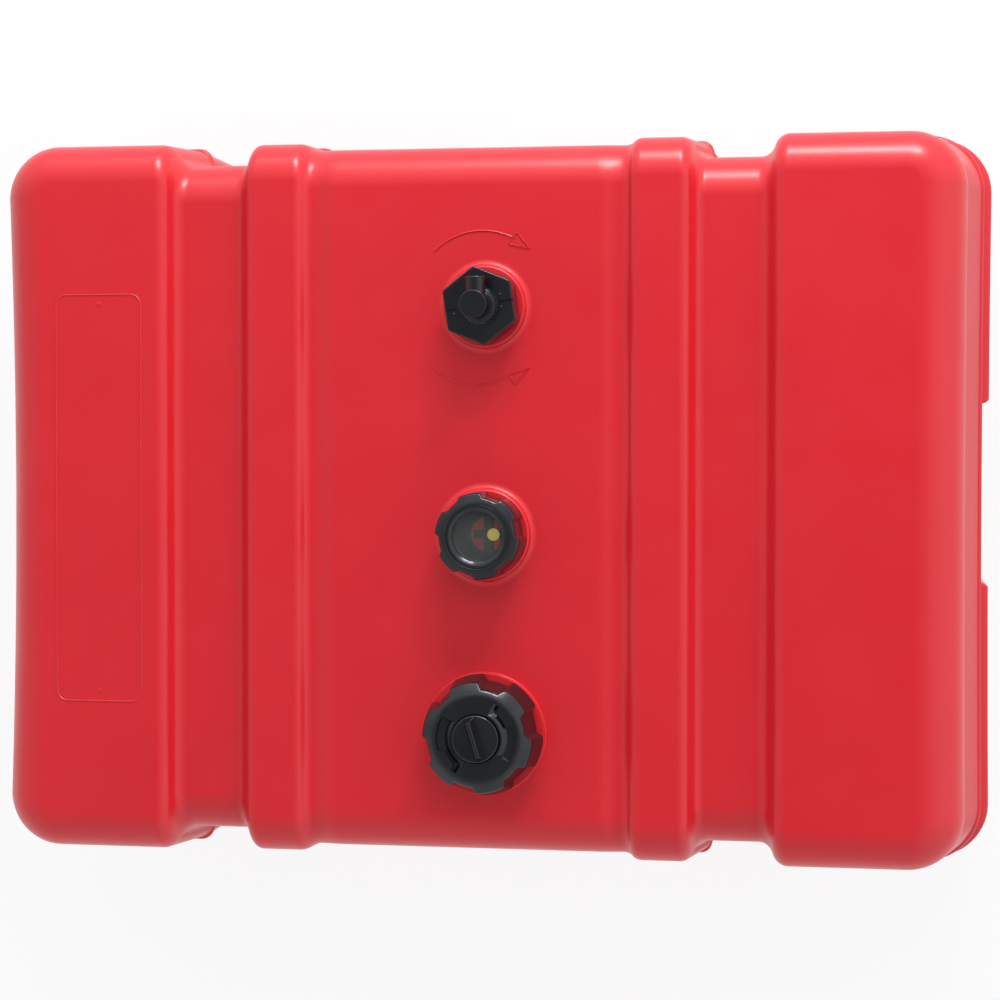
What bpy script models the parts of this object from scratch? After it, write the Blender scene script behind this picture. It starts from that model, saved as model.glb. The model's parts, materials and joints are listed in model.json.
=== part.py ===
"""Portable fuel tank with a filler cap, a float gauge and a fuel outlet.

Metres, +Z up. The origin is on the ground under the middle of the tank, +X runs along its
long side, and the three fittings stand in a row along Y.
"""

import math
from collections import namedtuple

import bmesh
import bpy
from mathutils import Matrix, Vector

# Sizes shared by all pieces
GAP = 0.0003                    # between pieces that touch on the real object
OVERRUN = 0.002                 # how far a cutter runs past what it cuts
EMBED = 0.0006                  # how far a rib starts inside the wall that carries it

# Tank body
LENGTH = 0.652
WIDTH = 0.467
BODY_HEIGHT = 0.205
WALL = 0.0045
CORNER_RADIUS = 0.035
SIDE_TOP_RADIUS = 0.026
END_TOP_RADIUS = 0.031
BOTTOM_RADIUS = 0.026
PARTING_HEIGHT = 0.120
RIDGE_PROUD = 0.0020
RIDGE_WIDTH = 0.0044
LOWER_END_STEP = 0.0065         # the lower half's ends stand out past the upper half's
LOWER_END_DROP = 0.004
LEFT_END_SINK = 0.0035          # how far the end walls are drawn in at their middle
RIGHT_END_SINK = 0.001
SIDE_DRAFT = math.radians(1.5)
UPPER_END_DRAFT = math.radians(8)
LOWER_END_DRAFT = math.radians(3)
UPPER_FLANK_DRAFT = math.radians(6)
LOWER_FLANK_DRAFT = math.radians(1)

# Strap grooves and ribs, which run round the body as hoops
HOOPS_X = -0.0017               # the middle of the grooves and ribs
GROOVE_PLACE = 0.1685
GROOVE_FLOOR = 0.035
GROOVE_DEPTH = 0.0133
SHOULDER_RUN = 0.018
RIB_OUTER_RUN = 0.015
RIB_CREST = 0.024
RIB_INNER_RUN = 0.0127
RIB_INSET = 0.001
VALLEY_DEPTH = 0.0025           # of the valley in the top between a rib and the panel
VALLEY_EDGE_RUN = 0.0155        # of the panel's rounded edge down to the valley
PANEL_INSET = 0.005
BASE_GROOVE_SHARE = 0.7

# Hand grips under the parting ridge, one at each end
GRIP_Y = 0.004
GRIP_HALF_WIDTH = 0.050
GRIP_SIDE_RUN = 0.010
GRIP_DEPTH = 0.026
GRIP_LEDGE_SLOPE_SHARE = 0.4

# The fittings' row
FITTINGS_X = 0.012
FILLER_MARGIN = 0.0855          # from the tank's side to the middle of the fitting
OUTLET_MARGIN = 0.1115
GAUGE_SPACING = 0.126
FILLER_Y = -WIDTH / 2 + FILLER_MARGIN
GAUGE_Y = FILLER_Y + GAUGE_SPACING
OUTLET_Y = WIDTH / 2 - OUTLET_MARGIN
BOSS_RISE = 0.005               # above the panel
BOSS_TOP = BODY_HEIGHT - PANEL_INSET + BOSS_RISE
BOSS_FILLET = 0.0045

# Threads
THREAD_CLEARANCE = 0.0006
THREAD_RIDGE_SHARE = 0.42       # of the pitch, at the foot of an outer thread
THREAD_CREST_SHARE = 0.16
THREAD_STEPS = 20
SKIRT_CLEARANCE = 0.0015        # between a cap's lower edge and its boss

# Lobes of a cap's or a ring's edge
LOBE_POINTS = 6
LOBE_CREST_SHARE = 0.48
LOBE_FLANK_SHARE = 0.09

# Filler neck and its cap
FILLER_BOSS = 0.0385
FILLER_BORE = 0.020
FILLER_ROOT = 0.023
FILLER_CREST = 0.0245
FILLER_NECK = 0.017
FILLER_PITCH = 0.006
CAP_GASKET = 0.002
INSERT_PLATE = 0.002
INSERT_WALL = 0.0015
INSERT_SKIRT_RISE = 0.0025
CAP_LOBES = 6
CAP_NOTCH_TURN = math.radians(14.4)
CAP_FOOT_CREST = 0.0385
CAP_FOOT_ROOT = 0.0344
CAP_RIM_CREST = 0.0352
CAP_RIM_ROOT = 0.0312
CAP_RIM_HEIGHT = 0.0225
CAP_RIM_CHAMFER = 0.0012
CAP_PLATE = 0.0026
CAP_SHOULDER = 0.0300            # where the notches end on the slope from the rim up to the disc
CAP_SHOULDER_RISE = 0.0032       # above the rim
CAP_DISC_EDGE = 0.0274
CAP_DISC_RISE = 0.0060
CAP_POCKET_INNER = 0.0178
CAP_POCKET_OUTER = 0.0248
CAP_POCKET_HALF_ANGLE = math.radians(42)
CAP_POCKET_TURN = math.radians(14)
CAP_POCKET_DEPTH = 0.0032

# Vent knob in the filler cap
KNOB_RADIUS = 0.0150
KNOB_WELL_RADIUS = 0.0160
KNOB_HEAD = 0.0042
KNOB_FIN_HEIGHT = 0.0068
KNOB_FIN_FOOT = 0.0075
KNOB_FIN_TOP = 0.0022
KNOB_FIN_TURN = math.radians(107)
KNOB_STEM = 0.0028
KNOB_STEM_LENGTH = 0.012
VENT_SEAL_THICK = 0.0012
VENT_SEAL_WIDTH = 0.0020
STEM_CLEARANCE = 0.0005

# Relief valve under the filler cap
RELIEF_OFFSET = 0.0115
RELIEF_CAGE_RADIUS = 0.0062
RELIEF_CAGE_WALL = 0.0012
RELIEF_CAGE_HEIGHT = 0.0135
RELIEF_CAGE_FLOOR = 0.0014
RELIEF_HOLE = 0.0020
RELIEF_DISC_THICK = 0.0018
RELIEF_WIRE = 0.00045
RELIEF_COILS = 4
RELIEF_COIL_POINTS = 10

# Gauge neck, ring, body and lens
GAUGE_BOSS = 0.0290
GAUGE_BORE = 0.0172
GAUGE_ROOT = 0.0200
GAUGE_CREST = 0.0212
GAUGE_NECK = 0.014
GAUGE_PITCH = 0.005
GAUGE_GASKET = 0.0015
GAUGE_FLANGE = 0.0018
LENS_SEAL = 0.0010
LENS_SEAL_WIDTH = 0.0026
LENS_THICK = 0.0026
RING_LOBES = 6
RING_NOTCH_TURN = math.radians(11.3)
RING_FOOT_CREST = 0.0279
RING_FOOT_ROOT = 0.0252
RING_RIM_CREST = 0.0271
RING_RIM_ROOT = 0.0245
RING_RIM_HEIGHT = 0.0232
RING_HEIGHT = 0.0258
RING_LAND = 0.0222
BEZEL_TOP = 0.0202
BEZEL_FOOT = 0.0164
CUP_CLEARANCE = 0.0004
CUP_WALL = 0.0012
CUP_DEPTH = 0.0290              # from the flange's underside to the cup's floor
CUP_FLOOR = 0.0020
CUP_FLOOR_RADIUS = 0.0142
CUP_WINDOW = 0.0112
BRIDGE_WIDTH = 0.0055
BRIDGE_GAP = 0.0034             # half the space between the bridge's two ears
BRIDGE_DROP = 0.0085
PIVOT_DROP = 0.0050             # below the cup floor's top face
PIVOT_PIN = 0.0012
PIVOT_PIN_HALF = 0.0105

# Float and its arm
HUB_RADIUS = 0.0036
HUB_HALF = 0.0030
BAR_HALF = 0.0095
BAR_THICK = 0.0018
BAR_RISE = 0.0012
ARM_WIRE = 0.0016
ARM_END = 0.0141                # height of the wire's lower end above the ground
FLOAT_RADIUS = 0.0140
FLOAT_LENGTH = 0.050
FLOAT_ROUND = 0.004
CLIP_RADIUS = 0.0055
CLIP_THICK = 0.0020
CLIP_SETBACK = 0.0015           # from the clip's foot to the wire's end
BEAD_RADIUS = 0.0039
BEAD_X = 0.0043
BEAD_RISE = 0.0085
BEAD_POST = 0.0011

# Outlet neck, nut, elbow and pickup
OUTLET_BOSS = 0.0260
OUTLET_BORE = 0.0135
OUTLET_ROOT = 0.0165
OUTLET_CREST = 0.0178
OUTLET_NECK = 0.011
OUTLET_PITCH = 0.0045
PICKUP_GASKET = 0.0015
PICKUP_FLANGE = 0.0018
NUT_FLATS = 0.0436
NUT_CORNER_RADIUS = 0.0250
NUT_CORNER_TURN = math.radians(38.5)
NUT_PLATE = 0.0030
NUT_CHAMFER = 0.0014
NUT_TOP_LAND = 0.0198
ELBOW_FLANGE_RADIUS = 0.0112
ELBOW_FLANGE = 0.0052
ELBOW_BODY = 0.0088
ELBOW_RISE = 0.0240             # from the pickup flange to the elbow's top
ELBOW_CHAMFER = 0.0014
ELBOW_SPIGOT = 0.0055
ELBOW_SPIGOT_LENGTH = 0.0130
ELBOW_BORE = 0.0030
STUB_RADIUS = 0.0062
STUB_REACH = 0.0175
STUB_HEIGHT = 0.0140            # of the stub's axis above the pickup flange
SOCKET_RADIUS = 0.0042
SOCKET_DEPTH = 0.0105
SEAL_GROOVE = 0.0043
SEAL_GROOVE_HEIGHT = 0.0024
SEAL_DROP = 0.0085              # from the pickup flange to the seal's middle
SOCKET_CLEARANCE = 0.0004
PICKUP_SOCKET_WALL = 0.0026
PICKUP_SOCKET_DEPTH = 0.0150
TUBE_RADIUS = 0.0046
TUBE_BORE = 0.0031
TUBE_END = 0.0110               # height of the tube's open end above the ground
STRAINER_RADIUS = 0.0076
STRAINER_WALL = 0.0012
STRAINER_LENGTH = 0.025
STRAINER_FOOT = 0.0070
STRAINER_COLLAR = 0.0035
STRAINER_WINDOW = 0.0052

# Facet counts
BODY_RAMP_STEPS = 3
BODY_CORNER_STEPS = 6
BODY_FILLET_STEPS = 5
CAVITY_RAMP_STEPS = 2
CAVITY_CORNER_STEPS = 3
CAVITY_FILLET_STEPS = 2
BIG_ROUND = 36
SMALL_ROUND = 20
TINY_ROUND = 12


# Scene, materials and meshes

def clear_scene():
    for obj in list(bpy.data.objects):
        bpy.data.objects.remove(obj, do_unlink=True)


def make_material(name, colour, roughness, alpha=1.0):
    material = bpy.data.materials.new(name)
    material.use_nodes = True
    shader = material.node_tree.nodes["Principled BSDF"]
    shader.inputs["Base Color"].default_value = (*colour, 1.0)
    shader.inputs["Roughness"].default_value = roughness
    shader.inputs["Metallic"].default_value = 0.0
    shader.inputs["Alpha"].default_value = alpha
    return material


def mesh_object(name, bm, material=None, parent=None):
    """An object from a bmesh, its faces turned outwards and its round sides shaded smooth."""
    bmesh.ops.recalc_face_normals(bm, faces=bm.faces)
    mesh = bpy.data.meshes.new(name)
    bm.to_mesh(mesh)
    bm.free()
    mesh.shade_smooth()
    mesh.set_sharp_from_angle(angle=math.radians(35))
    obj = bpy.data.objects.new(name, mesh)
    bpy.context.scene.collection.objects.link(obj)
    if material:
        mesh.materials.append(material)
    obj.parent = parent
    return obj


def make_axis(name, x, y, z, parent=None):
    """An empty on the axis that a fitting's pieces share."""
    axis = bpy.data.objects.new(name, None)
    axis.location = (x, y, z)
    axis.parent = parent
    bpy.context.scene.collection.objects.link(axis)
    return axis


def hide_helper(obj):
    obj.hide_render = True
    obj.display_type = "WIRE"


def boolean(obj, other, operation):
    hide_helper(other)
    modifier = obj.modifiers.new(operation.lower() + " " + other.name, "BOOLEAN")
    modifier.operation = operation
    modifier.object = other
    modifier.solver = "EXACT"


def cut(obj, *others):
    for other in others:
        boolean(obj, other, "DIFFERENCE")


def add(obj, *others):
    for other in others:
        boolean(obj, other, "UNION")


def loft(bm, rings, closed=False):
    """Faces between rings of points; the last ring joins the first when closed, or else both are capped."""
    made = [[bm.verts.new(point) for point in ring] for ring in rings]
    pairs = list(zip(made, made[1:]))
    if closed:
        pairs.append((made[-1], made[0]))
    for low, high in pairs:
        count = len(low)
        for k in range(count):
            after = (k + 1) % count
            bm.faces.new((low[k], low[after], high[after], high[k]))
    if not closed:
        bm.faces.new(list(reversed(made[0])))
        bm.faces.new(made[-1])
    return made


def circle(radius, z, angles):
    return [Vector((radius * math.cos(a), radius * math.sin(a), z)) for a in angles]


def even_angles(count):
    return [2 * math.pi * k / count for k in range(count)]


def turned(name, profile, material=None, parent=None, steps=BIG_ROUND, closed=False):
    """A solid turned about Z from (radius, height) points; closed for a ring with a hole through it."""
    bm = bmesh.new()
    loft(bm, [circle(r, z, even_angles(steps)) for r, z in profile], closed)
    return mesh_object(name, bm, material, parent)


def block(name, low, high, parent=None, material=None):
    bm = bmesh.new()
    middle = [(a + b) / 2 for a, b in zip(low, high)]
    sides = [b - a for a, b in zip(low, high)]
    bmesh.ops.create_cube(bm, size=1)
    bmesh.ops.transform(bm, matrix=Matrix.Diagonal((*sides, 1)), verts=bm.verts)
    bmesh.ops.translate(bm, vec=middle, verts=bm.verts)
    return mesh_object(name, bm, material, parent)


def rod(name, radius, start, end, parent=None, material=None, steps=SMALL_ROUND):
    """A round bar between two points."""
    start = Vector(start)
    along = Vector(end) - start
    turn = along.to_track_quat("Z", "Y").to_matrix()
    bm = bmesh.new()
    rings = []
    for share in (0, 1):
        ring = circle(radius, along.length * share, even_angles(steps))
        rings.append([start + turn @ point for point in ring])
    loft(bm, rings)
    return mesh_object(name, bm, material, parent)


# Threads

def thread_ridge(name, foot_radius, crest_radius, pitch, start, turns, ridge_share, parent):
    """One helical ridge, running up anticlockwise, whose ends taper into the wall."""
    steps = round(turns * THREAD_STEPS)
    foot_half = pitch * ridge_share / 2
    crest_half = pitch * THREAD_CREST_SHARE / 2
    rings = []
    for k in range(steps + 1):
        turn = 2 * math.pi * k / THREAD_STEPS
        z = start + pitch * k / THREAD_STEPS
        share = min(1, k / 2 + 0.1, (steps - k) / 2 + 0.1)
        crest = foot_radius + (crest_radius - foot_radius) * share
        points = ((foot_radius, -foot_half), (crest, -crest_half), (crest, crest_half), (foot_radius, foot_half))
        rings.append([Vector((r * math.cos(turn), r * math.sin(turn), z + dz)) for r, dz in points])
    bm = bmesh.new()
    loft(bm, rings)
    return mesh_object(name, bm, parent=parent)


def outer_thread(name, root, crest, neck, pitch, parent):
    """The thread on a neck: it starts half a ridge above the boss and ends under the neck's rim."""
    half = pitch * THREAD_RIDGE_SHARE / 2
    start = SKIRT_CLEARANCE + half
    turns = (neck - half - EMBED - start) / pitch
    return thread_ridge(name, root - EMBED, crest, pitch, start, turns, THREAD_RIDGE_SHARE, parent)


def inner_thread(name, root, crest, neck, pitch, parent):
    """The matching thread of a cap, half a pitch above the neck's own and one turn long."""
    half = pitch * THREAD_RIDGE_SHARE / 2
    start = SKIRT_CLEARANCE + half + pitch / 2
    share = 1 - THREAD_RIDGE_SHARE - 2 * THREAD_CLEARANCE / pitch
    return thread_ridge(
        name, crest + THREAD_CLEARANCE + EMBED, root + THREAD_CLEARANCE, pitch, start, 1, share, parent
    )


# Tank body: plan rings from the ground to the top

def ease(share):
    return share * share * (3 - 2 * share)


def slope(run, drop, steps):
    """(along, down) points of a slope made of two equal arcs, level at both ends."""
    radius = (run * run + drop * drop) / (4 * drop)
    steepest = 2 * math.atan2(drop, run)
    turns = [steepest * k / steps for k in range(steps)]
    first = [(radius * math.sin(t), radius * (1 - math.cos(t))) for t in turns]
    return first + [(run - x, drop - y) for x, y in reversed(first)]


def hoop_stations(steps):
    """(x, inset, drift, dip) from the middle panel out to the end block.

    The inset draws in the walls and the top, the dip lowers the top alone, and the drift says
    which way the draft moves a flank.
    """
    groove_in = GROOVE_PLACE - GROOVE_FLOOR / 2
    groove_out = GROOVE_PLACE + GROOVE_FLOOR / 2
    rib_out = groove_in - RIB_OUTER_RUN
    valley = rib_out - RIB_CREST - RIB_INNER_RUN
    panel_edge = valley - VALLEY_EDGE_RUN
    stations = [(panel_edge + x, PANEL_INSET, 0, down) for x, down in slope(VALLEY_EDGE_RUN, VALLEY_DEPTH, steps)]
    wall_rise = PANEL_INSET - RIB_INSET
    rise = wall_rise + VALLEY_DEPTH
    for x, up in slope(RIB_INNER_RUN, rise, steps)[1:]:
        left = 1 - up / rise
        stations.append((valley + x, RIB_INSET + wall_rise * left, 0, VALLEY_DEPTH * left))
    stations += [(rib_out + x, RIB_INSET + down, 1, 0)
                 for x, down in slope(RIB_OUTER_RUN, GROOVE_DEPTH - RIB_INSET, steps)]
    stations += [(groove_out + x, GROOVE_DEPTH - up, -1, 0) for x, up in slope(SHOULDER_RUN, GROOVE_DEPTH, steps)]
    return stations


PlanPoint = namedtuple("PlanPoint", "kind end side where inset drift dip", defaults=(0, 0, 0))


def blend_radius(end_radius, side_radius, turn):
    """A fillet radius at a corner, from the end wall's (turn 0) to the side wall's (a quarter turn)."""
    return end_radius + (side_radius - end_radius) * ease(turn / (math.pi / 2))


class Skin:
    """The outer skin (wall 0) or the hollow inside it: every point of a ring from one rule."""

    def __init__(self, wall, ramp_steps, corner_steps):
        self.wall = wall
        self.half_width = WIDTH / 2 - RIDGE_PROUD - wall
        self.lower_half_length = LENGTH / 2 - wall
        self.upper_half_length = self.lower_half_length - LOWER_END_STEP
        self.corner = CORNER_RADIUS - wall
        self.grip_half = GRIP_HALF_WIDTH + wall
        self.points = self.plan_points(ramp_steps, corner_steps)

    def plan_points(self, ramp_steps, corner_steps):
        """Plan points anticlockwise from the +X end; where is a Y, an X or a turn, by the kind."""
        reach = self.half_width - self.corner
        grip_out = self.grip_half + GRIP_SIDE_RUN
        gripped = [GRIP_Y + y for y in (-grip_out, -self.grip_half, 0, self.grip_half, grip_out)]
        ends = [-reach, (gripped[0] - reach) / 2] + gripped + [(gripped[-1] + reach) / 2, reach]
        sides = hoop_stations(ramp_steps)
        along = list(reversed(sides)) + [(-x, inset, -drift, dip) for x, inset, drift, dip in sides]
        turns = [math.pi / 2 * k / corner_steps for k in range(1, corner_steps + 1)]
        points = []
        for sign in (1, -1):
            points += [PlanPoint("end", sign, 0, y) for y in ends[::sign]]
            points += [PlanPoint("corner", sign, sign, turn) for turn in turns]
            for x, inset, drift, dip in along:
                points.append(PlanPoint("side", 0, sign, HOOPS_X + sign * x, inset, sign * drift, dip))
            points += [PlanPoint("corner", -sign, sign, turn) for turn in reversed(turns)]
        return points

    def sink(self, end, y):
        reach = self.half_width - self.corner
        return (RIGHT_END_SINK if end > 0 else LEFT_END_SINK) * (1 - (y / reach) ** 2)

    def grip(self, y):
        share = (abs(y - GRIP_Y) - self.grip_half) / GRIP_SIDE_RUN
        return GRIP_DEPTH * (1 - ease(min(1, max(0, share))))

    def flank_shift(self, z):
        top = BODY_HEIGHT - SIDE_TOP_RADIUS
        most = math.tan(UPPER_FLANK_DRAFT) * (top - PARTING_HEIGHT)
        if z >= PARTING_HEIGHT:
            return math.tan(UPPER_FLANK_DRAFT) * max(0, top - z)
        return max(0, most - math.tan(LOWER_FLANK_DRAFT) * (PARTING_HEIGHT - z))

    def place(self, point, z, inset, lower, proud=0, gripped=False):
        """Where a plan point lies at height z, moved in by a fillet's inset or out by the ridge."""
        kind, end, side, where, hoop, drift, _ = point
        rise = abs(z - PARTING_HEIGHT)
        width = self.half_width - math.tan(SIDE_DRAFT) * rise + proud - inset
        if lower:
            length = self.lower_half_length - math.tan(LOWER_END_DRAFT) * rise + proud - inset
        else:
            length = self.upper_half_length - math.tan(UPPER_END_DRAFT) * rise + proud - inset
        if kind == "end":
            x = length - self.sink(end, where) - (self.grip(where) if gripped else 0)
            return Vector((end * x, where, z))
        if kind == "side":
            return Vector((where + drift * self.flank_shift(z), side * (width - hoop), z))
        radius = self.corner + proud - inset
        x = length - radius + radius * math.cos(where)
        y = width - radius + radius * math.sin(where)
        return Vector((end * x, side * y, z))

    def wall_ring(self, z, lower, proud=0, gripped=False):
        return [self.place(p, z, 0, lower, proud, gripped) for p in self.points]

    def local_radius(self, point, end_radius, side_radius):
        if point.kind == "end":
            return end_radius - self.wall
        if point.kind == "side":
            return side_radius - self.wall
        return blend_radius(end_radius, side_radius, point.where) - self.wall

    def top_ring(self, turn):
        """A ring of the top fillet, from turn 0 at the wall to a quarter turn at the top face."""
        ring = []
        for point in self.points:
            radius = self.local_radius(point, END_TOP_RADIUS, SIDE_TOP_RADIUS)
            start = BODY_HEIGHT - self.wall - point.inset - point.dip - radius
            placed = self.place(point, start, radius * (1 - math.cos(turn)), False)
            placed.z = start + radius * math.sin(turn)
            ring.append(placed)
        return ring

    def bottom_ring(self, turn):
        """A ring of the bottom fillet, from turn 0 at the base to a quarter turn at the wall."""
        ring = []
        for point in self.points:
            radius = BOTTOM_RADIUS - self.wall
            lift = BASE_GROOVE_SHARE * max(0, point.inset - PANEL_INSET)
            start = self.wall + lift + radius
            placed = self.place(point, start, radius * (1 - math.sin(turn)), True, gripped=True)
            placed.z = start - radius * math.cos(turn)
            ring.append(placed)
        return ring

    def close(self, bm, ring):
        """The base or the top face: strips from side to side at each hoop, and one face at each end."""
        side_at = {}
        for vert, point in zip(ring, self.points):
            if point.kind == "side":
                side_at.setdefault(point.side, []).append(vert)
        left = list(reversed(side_at[1]))
        right = side_at[-1]
        for k in range(len(left) - 1):
            bm.faces.new((left[k], left[k + 1], right[k + 1], right[k]))
        first = ring.index(side_at[1][0])
        last = ring.index(side_at[1][-1])
        back_first = ring.index(side_at[-1][0])
        back_last = ring.index(side_at[-1][-1])
        bm.faces.new(ring[back_last:] + ring[: first + 1])
        bm.faces.new(ring[last : back_first + 1])


def skin_mesh(skin, rings):
    bm = bmesh.new()
    made = [[bm.verts.new(point) for point in ring] for ring in rings]
    for low, high in zip(made, made[1:]):
        count = len(low)
        for k in range(count):
            after = (k + 1) % count
            bm.faces.new((low[k], low[after], high[after], high[k]))
    skin.close(bm, made[0])
    skin.close(bm, made[-1])
    return bm


def body_outside(material):
    skin = Skin(0, BODY_RAMP_STEPS, BODY_CORNER_STEPS)
    quarter = [math.pi / 2 * k / BODY_FILLET_STEPS for k in range(BODY_FILLET_STEPS + 1)]
    ridge_half = RIDGE_WIDTH / 2
    under = PARTING_HEIGHT - ridge_half
    rings = [skin.bottom_ring(turn) for turn in quarter]
    rings.append(skin.wall_ring(under - LOWER_END_DROP, True, gripped=True))
    rings.append(skin.wall_ring(under, False))
    rings.append(skin.wall_ring(PARTING_HEIGHT - ridge_half / 2, False, RIDGE_PROUD))
    rings.append(skin.wall_ring(PARTING_HEIGHT + ridge_half / 2, False, RIDGE_PROUD))
    rings.append(skin.wall_ring(PARTING_HEIGHT + ridge_half, False))
    rings += [skin.top_ring(turn) for turn in quarter]
    return mesh_object("tank_shell", skin_mesh(skin, rings), material)


def body_cavity():
    """The hollow, which goes round the grips and thickens the ledge above them."""
    skin = Skin(WALL, CAVITY_RAMP_STEPS, CAVITY_CORNER_STEPS)
    quarter = [math.pi / 2 * k / CAVITY_FILLET_STEPS for k in range(CAVITY_FILLET_STEPS + 1)]
    ledge = PARTING_HEIGHT + WALL
    rings = [skin.bottom_ring(turn) for turn in quarter]
    rings.append(skin.wall_ring(PARTING_HEIGHT - WALL - RIDGE_WIDTH, True, gripped=True))
    rings.append(skin.wall_ring(ledge, False, gripped=True))
    rings.append(skin.wall_ring(ledge + GRIP_DEPTH * GRIP_LEDGE_SLOPE_SHARE, False))
    rings += [skin.top_ring(turn) for turn in quarter]
    return mesh_object("cavity", skin_mesh(skin, rings))


def make_neck(name, parent, boss, root, neck, thread):
    """A boss with a filleted foot and the neck that stands on it, to be joined to the body."""
    foot = -BOSS_RISE
    inside = foot - WALL / 2
    profile = [
        (boss + BOSS_FILLET, inside),
        (boss + BOSS_FILLET, foot),
        (boss + BOSS_FILLET / 3, foot - foot / 4),
        (boss, foot - foot * 2 / 3),
        (boss - BOSS_FILLET / 4, -EMBED),
        (boss - BOSS_FILLET / 2, 0),
        (root, 0),
        (root, neck - EMBED),
        (root - EMBED, neck),
    ]
    obj = turned(name, profile, parent=parent)
    add(obj, thread)
    return obj


def make_shell(material, filler, gauge, outlet):
    shell = body_outside(material)
    cut(shell, body_cavity())
    depth = -(BOSS_RISE + WALL + OVERRUN)
    necks = (
        ("filler", filler, FILLER_BOSS, FILLER_BORE, FILLER_ROOT, FILLER_CREST, FILLER_NECK, FILLER_PITCH),
        ("gauge", gauge, GAUGE_BOSS, GAUGE_BORE, GAUGE_ROOT, GAUGE_CREST, GAUGE_NECK, GAUGE_PITCH),
        ("outlet", outlet, OUTLET_BOSS, OUTLET_BORE, OUTLET_ROOT, OUTLET_CREST, OUTLET_NECK, OUTLET_PITCH),
    )
    for name, axis, boss, bore, root, crest, neck, pitch in necks:
        thread = outer_thread(name + "_thread", root, crest, neck, pitch, axis)
        add(shell, make_neck(name + "_neck", axis, boss, root, neck, thread))
        cut(shell, turned(name + "_bore", [(bore, depth), (bore, neck + OVERRUN)], parent=axis))
    return shell


# Lobed caps

def lobed_angles(lobes, turn):
    """Six angles for each lobe: the ends and middle of its crest and of the notch after it."""
    root_share = 1 - LOBE_CREST_SHARE - 2 * LOBE_FLANK_SHARE
    crest_step = LOBE_CREST_SHARE / 2
    root_step = root_share / 2
    steps = (0, crest_step, crest_step, LOBE_FLANK_SHARE, root_step, root_step)
    angles = []
    pitch = 2 * math.pi / lobes
    for k in range(lobes):
        share = 0.5 - crest_step
        for step in steps:
            share += step
            angles.append(turn + pitch * (k + share))
    return angles


def lobed_ring(crest, root, z, angles):
    ring = []
    for k, angle in enumerate(angles):
        radius = crest if k % LOBE_POINTS < LOBE_POINTS / 2 else root
        ring.append(Vector((radius * math.cos(angle), radius * math.sin(angle), z)))
    return ring


def insert_top():
    """Height of the insert's plate above the boss, at its top face."""
    return FILLER_NECK + GAP + CAP_GASKET + GAP + INSERT_PLATE


def cap_plate_foot():
    return insert_top() + GAP


def make_filler_cap(material, parent):
    angles = lobed_angles(CAP_LOBES, CAP_NOTCH_TURN)
    cavity = FILLER_CREST + THREAD_CLEARANCE + INSERT_WALL + GAP
    plate = cap_plate_foot()
    well = plate + CAP_PLATE
    disc = plate + CAP_DISC_RISE
    hole = KNOB_STEM + STEM_CLEARANCE
    rings = [
        lobed_ring(CAP_FOOT_CREST, CAP_FOOT_ROOT, SKIRT_CLEARANCE, angles),
        lobed_ring(CAP_RIM_CREST, CAP_RIM_ROOT, CAP_RIM_HEIGHT - CAP_RIM_CHAMFER, angles),
        lobed_ring(CAP_RIM_CREST - CAP_RIM_CHAMFER, CAP_RIM_ROOT - CAP_RIM_CHAMFER / 2, CAP_RIM_HEIGHT, angles),
        circle(CAP_SHOULDER, CAP_RIM_HEIGHT + CAP_SHOULDER_RISE, angles),
        circle(CAP_DISC_EDGE, disc, angles),
        circle(KNOB_WELL_RADIUS, disc, angles),
        circle(KNOB_WELL_RADIUS, well, angles),
        circle(hole, well, angles),
        circle(hole, plate, angles),
        circle(cavity, plate, angles),
        circle(cavity, SKIRT_CLEARANCE, angles),
    ]
    bm = bmesh.new()
    loft(bm, rings, closed=True)
    cap = mesh_object("filler_cap", bm, material, parent)
    for k in range(2):
        cut(cap, make_pocket(f"cap_pocket_{k + 1}", CAP_POCKET_TURN + math.pi * k, disc, parent))
    return cap


def make_pocket(name, turn, top, parent):
    """The cutter of a finger pocket beside the knob: a sector of a ring."""
    steps = 6
    spread = [turn + CAP_POCKET_HALF_ANGLE * (2 * k / steps - 1) for k in range(steps + 1)]
    outline = [(CAP_POCKET_OUTER, a) for a in spread] + [(CAP_POCKET_INNER, a) for a in reversed(spread)]
    rings = []
    for z in (top - CAP_POCKET_DEPTH, top + OVERRUN):
        rings.append([Vector((r * math.cos(a), r * math.sin(a), z)) for r, a in outline])
    bm = bmesh.new()
    loft(bm, rings)
    return mesh_object(name, bm, parent=parent)


def make_cap_insert(material, parent):
    inner = FILLER_CREST + THREAD_CLEARANCE
    outer = inner + INSERT_WALL
    foot = SKIRT_CLEARANCE + INSERT_SKIRT_RISE - EMBED
    top = insert_top()
    under = top - INSERT_PLATE
    hole = KNOB_STEM + STEM_CLEARANCE
    profile = [(inner, foot), (outer, foot), (outer, top), (hole, top), (hole, under), (inner, under)]
    insert = turned("cap_insert", profile, material, parent, closed=True)
    add(insert, inner_thread("insert_thread", FILLER_ROOT, FILLER_CREST, FILLER_NECK, FILLER_PITCH, parent))
    start = (RELIEF_OFFSET, 0, under - OVERRUN)
    end = (RELIEF_OFFSET, 0, top + OVERRUN)
    cut(insert, rod("relief_port", RELIEF_HOLE, start, end, parent, steps=TINY_ROUND))
    return insert


def make_flat_ring(name, inner, outer, low, high, material, parent, steps=BIG_ROUND):
    profile = [(inner, low), (outer, low), (outer, high), (inner, high)]
    return turned(name, profile, material, parent, steps, closed=True)


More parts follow.
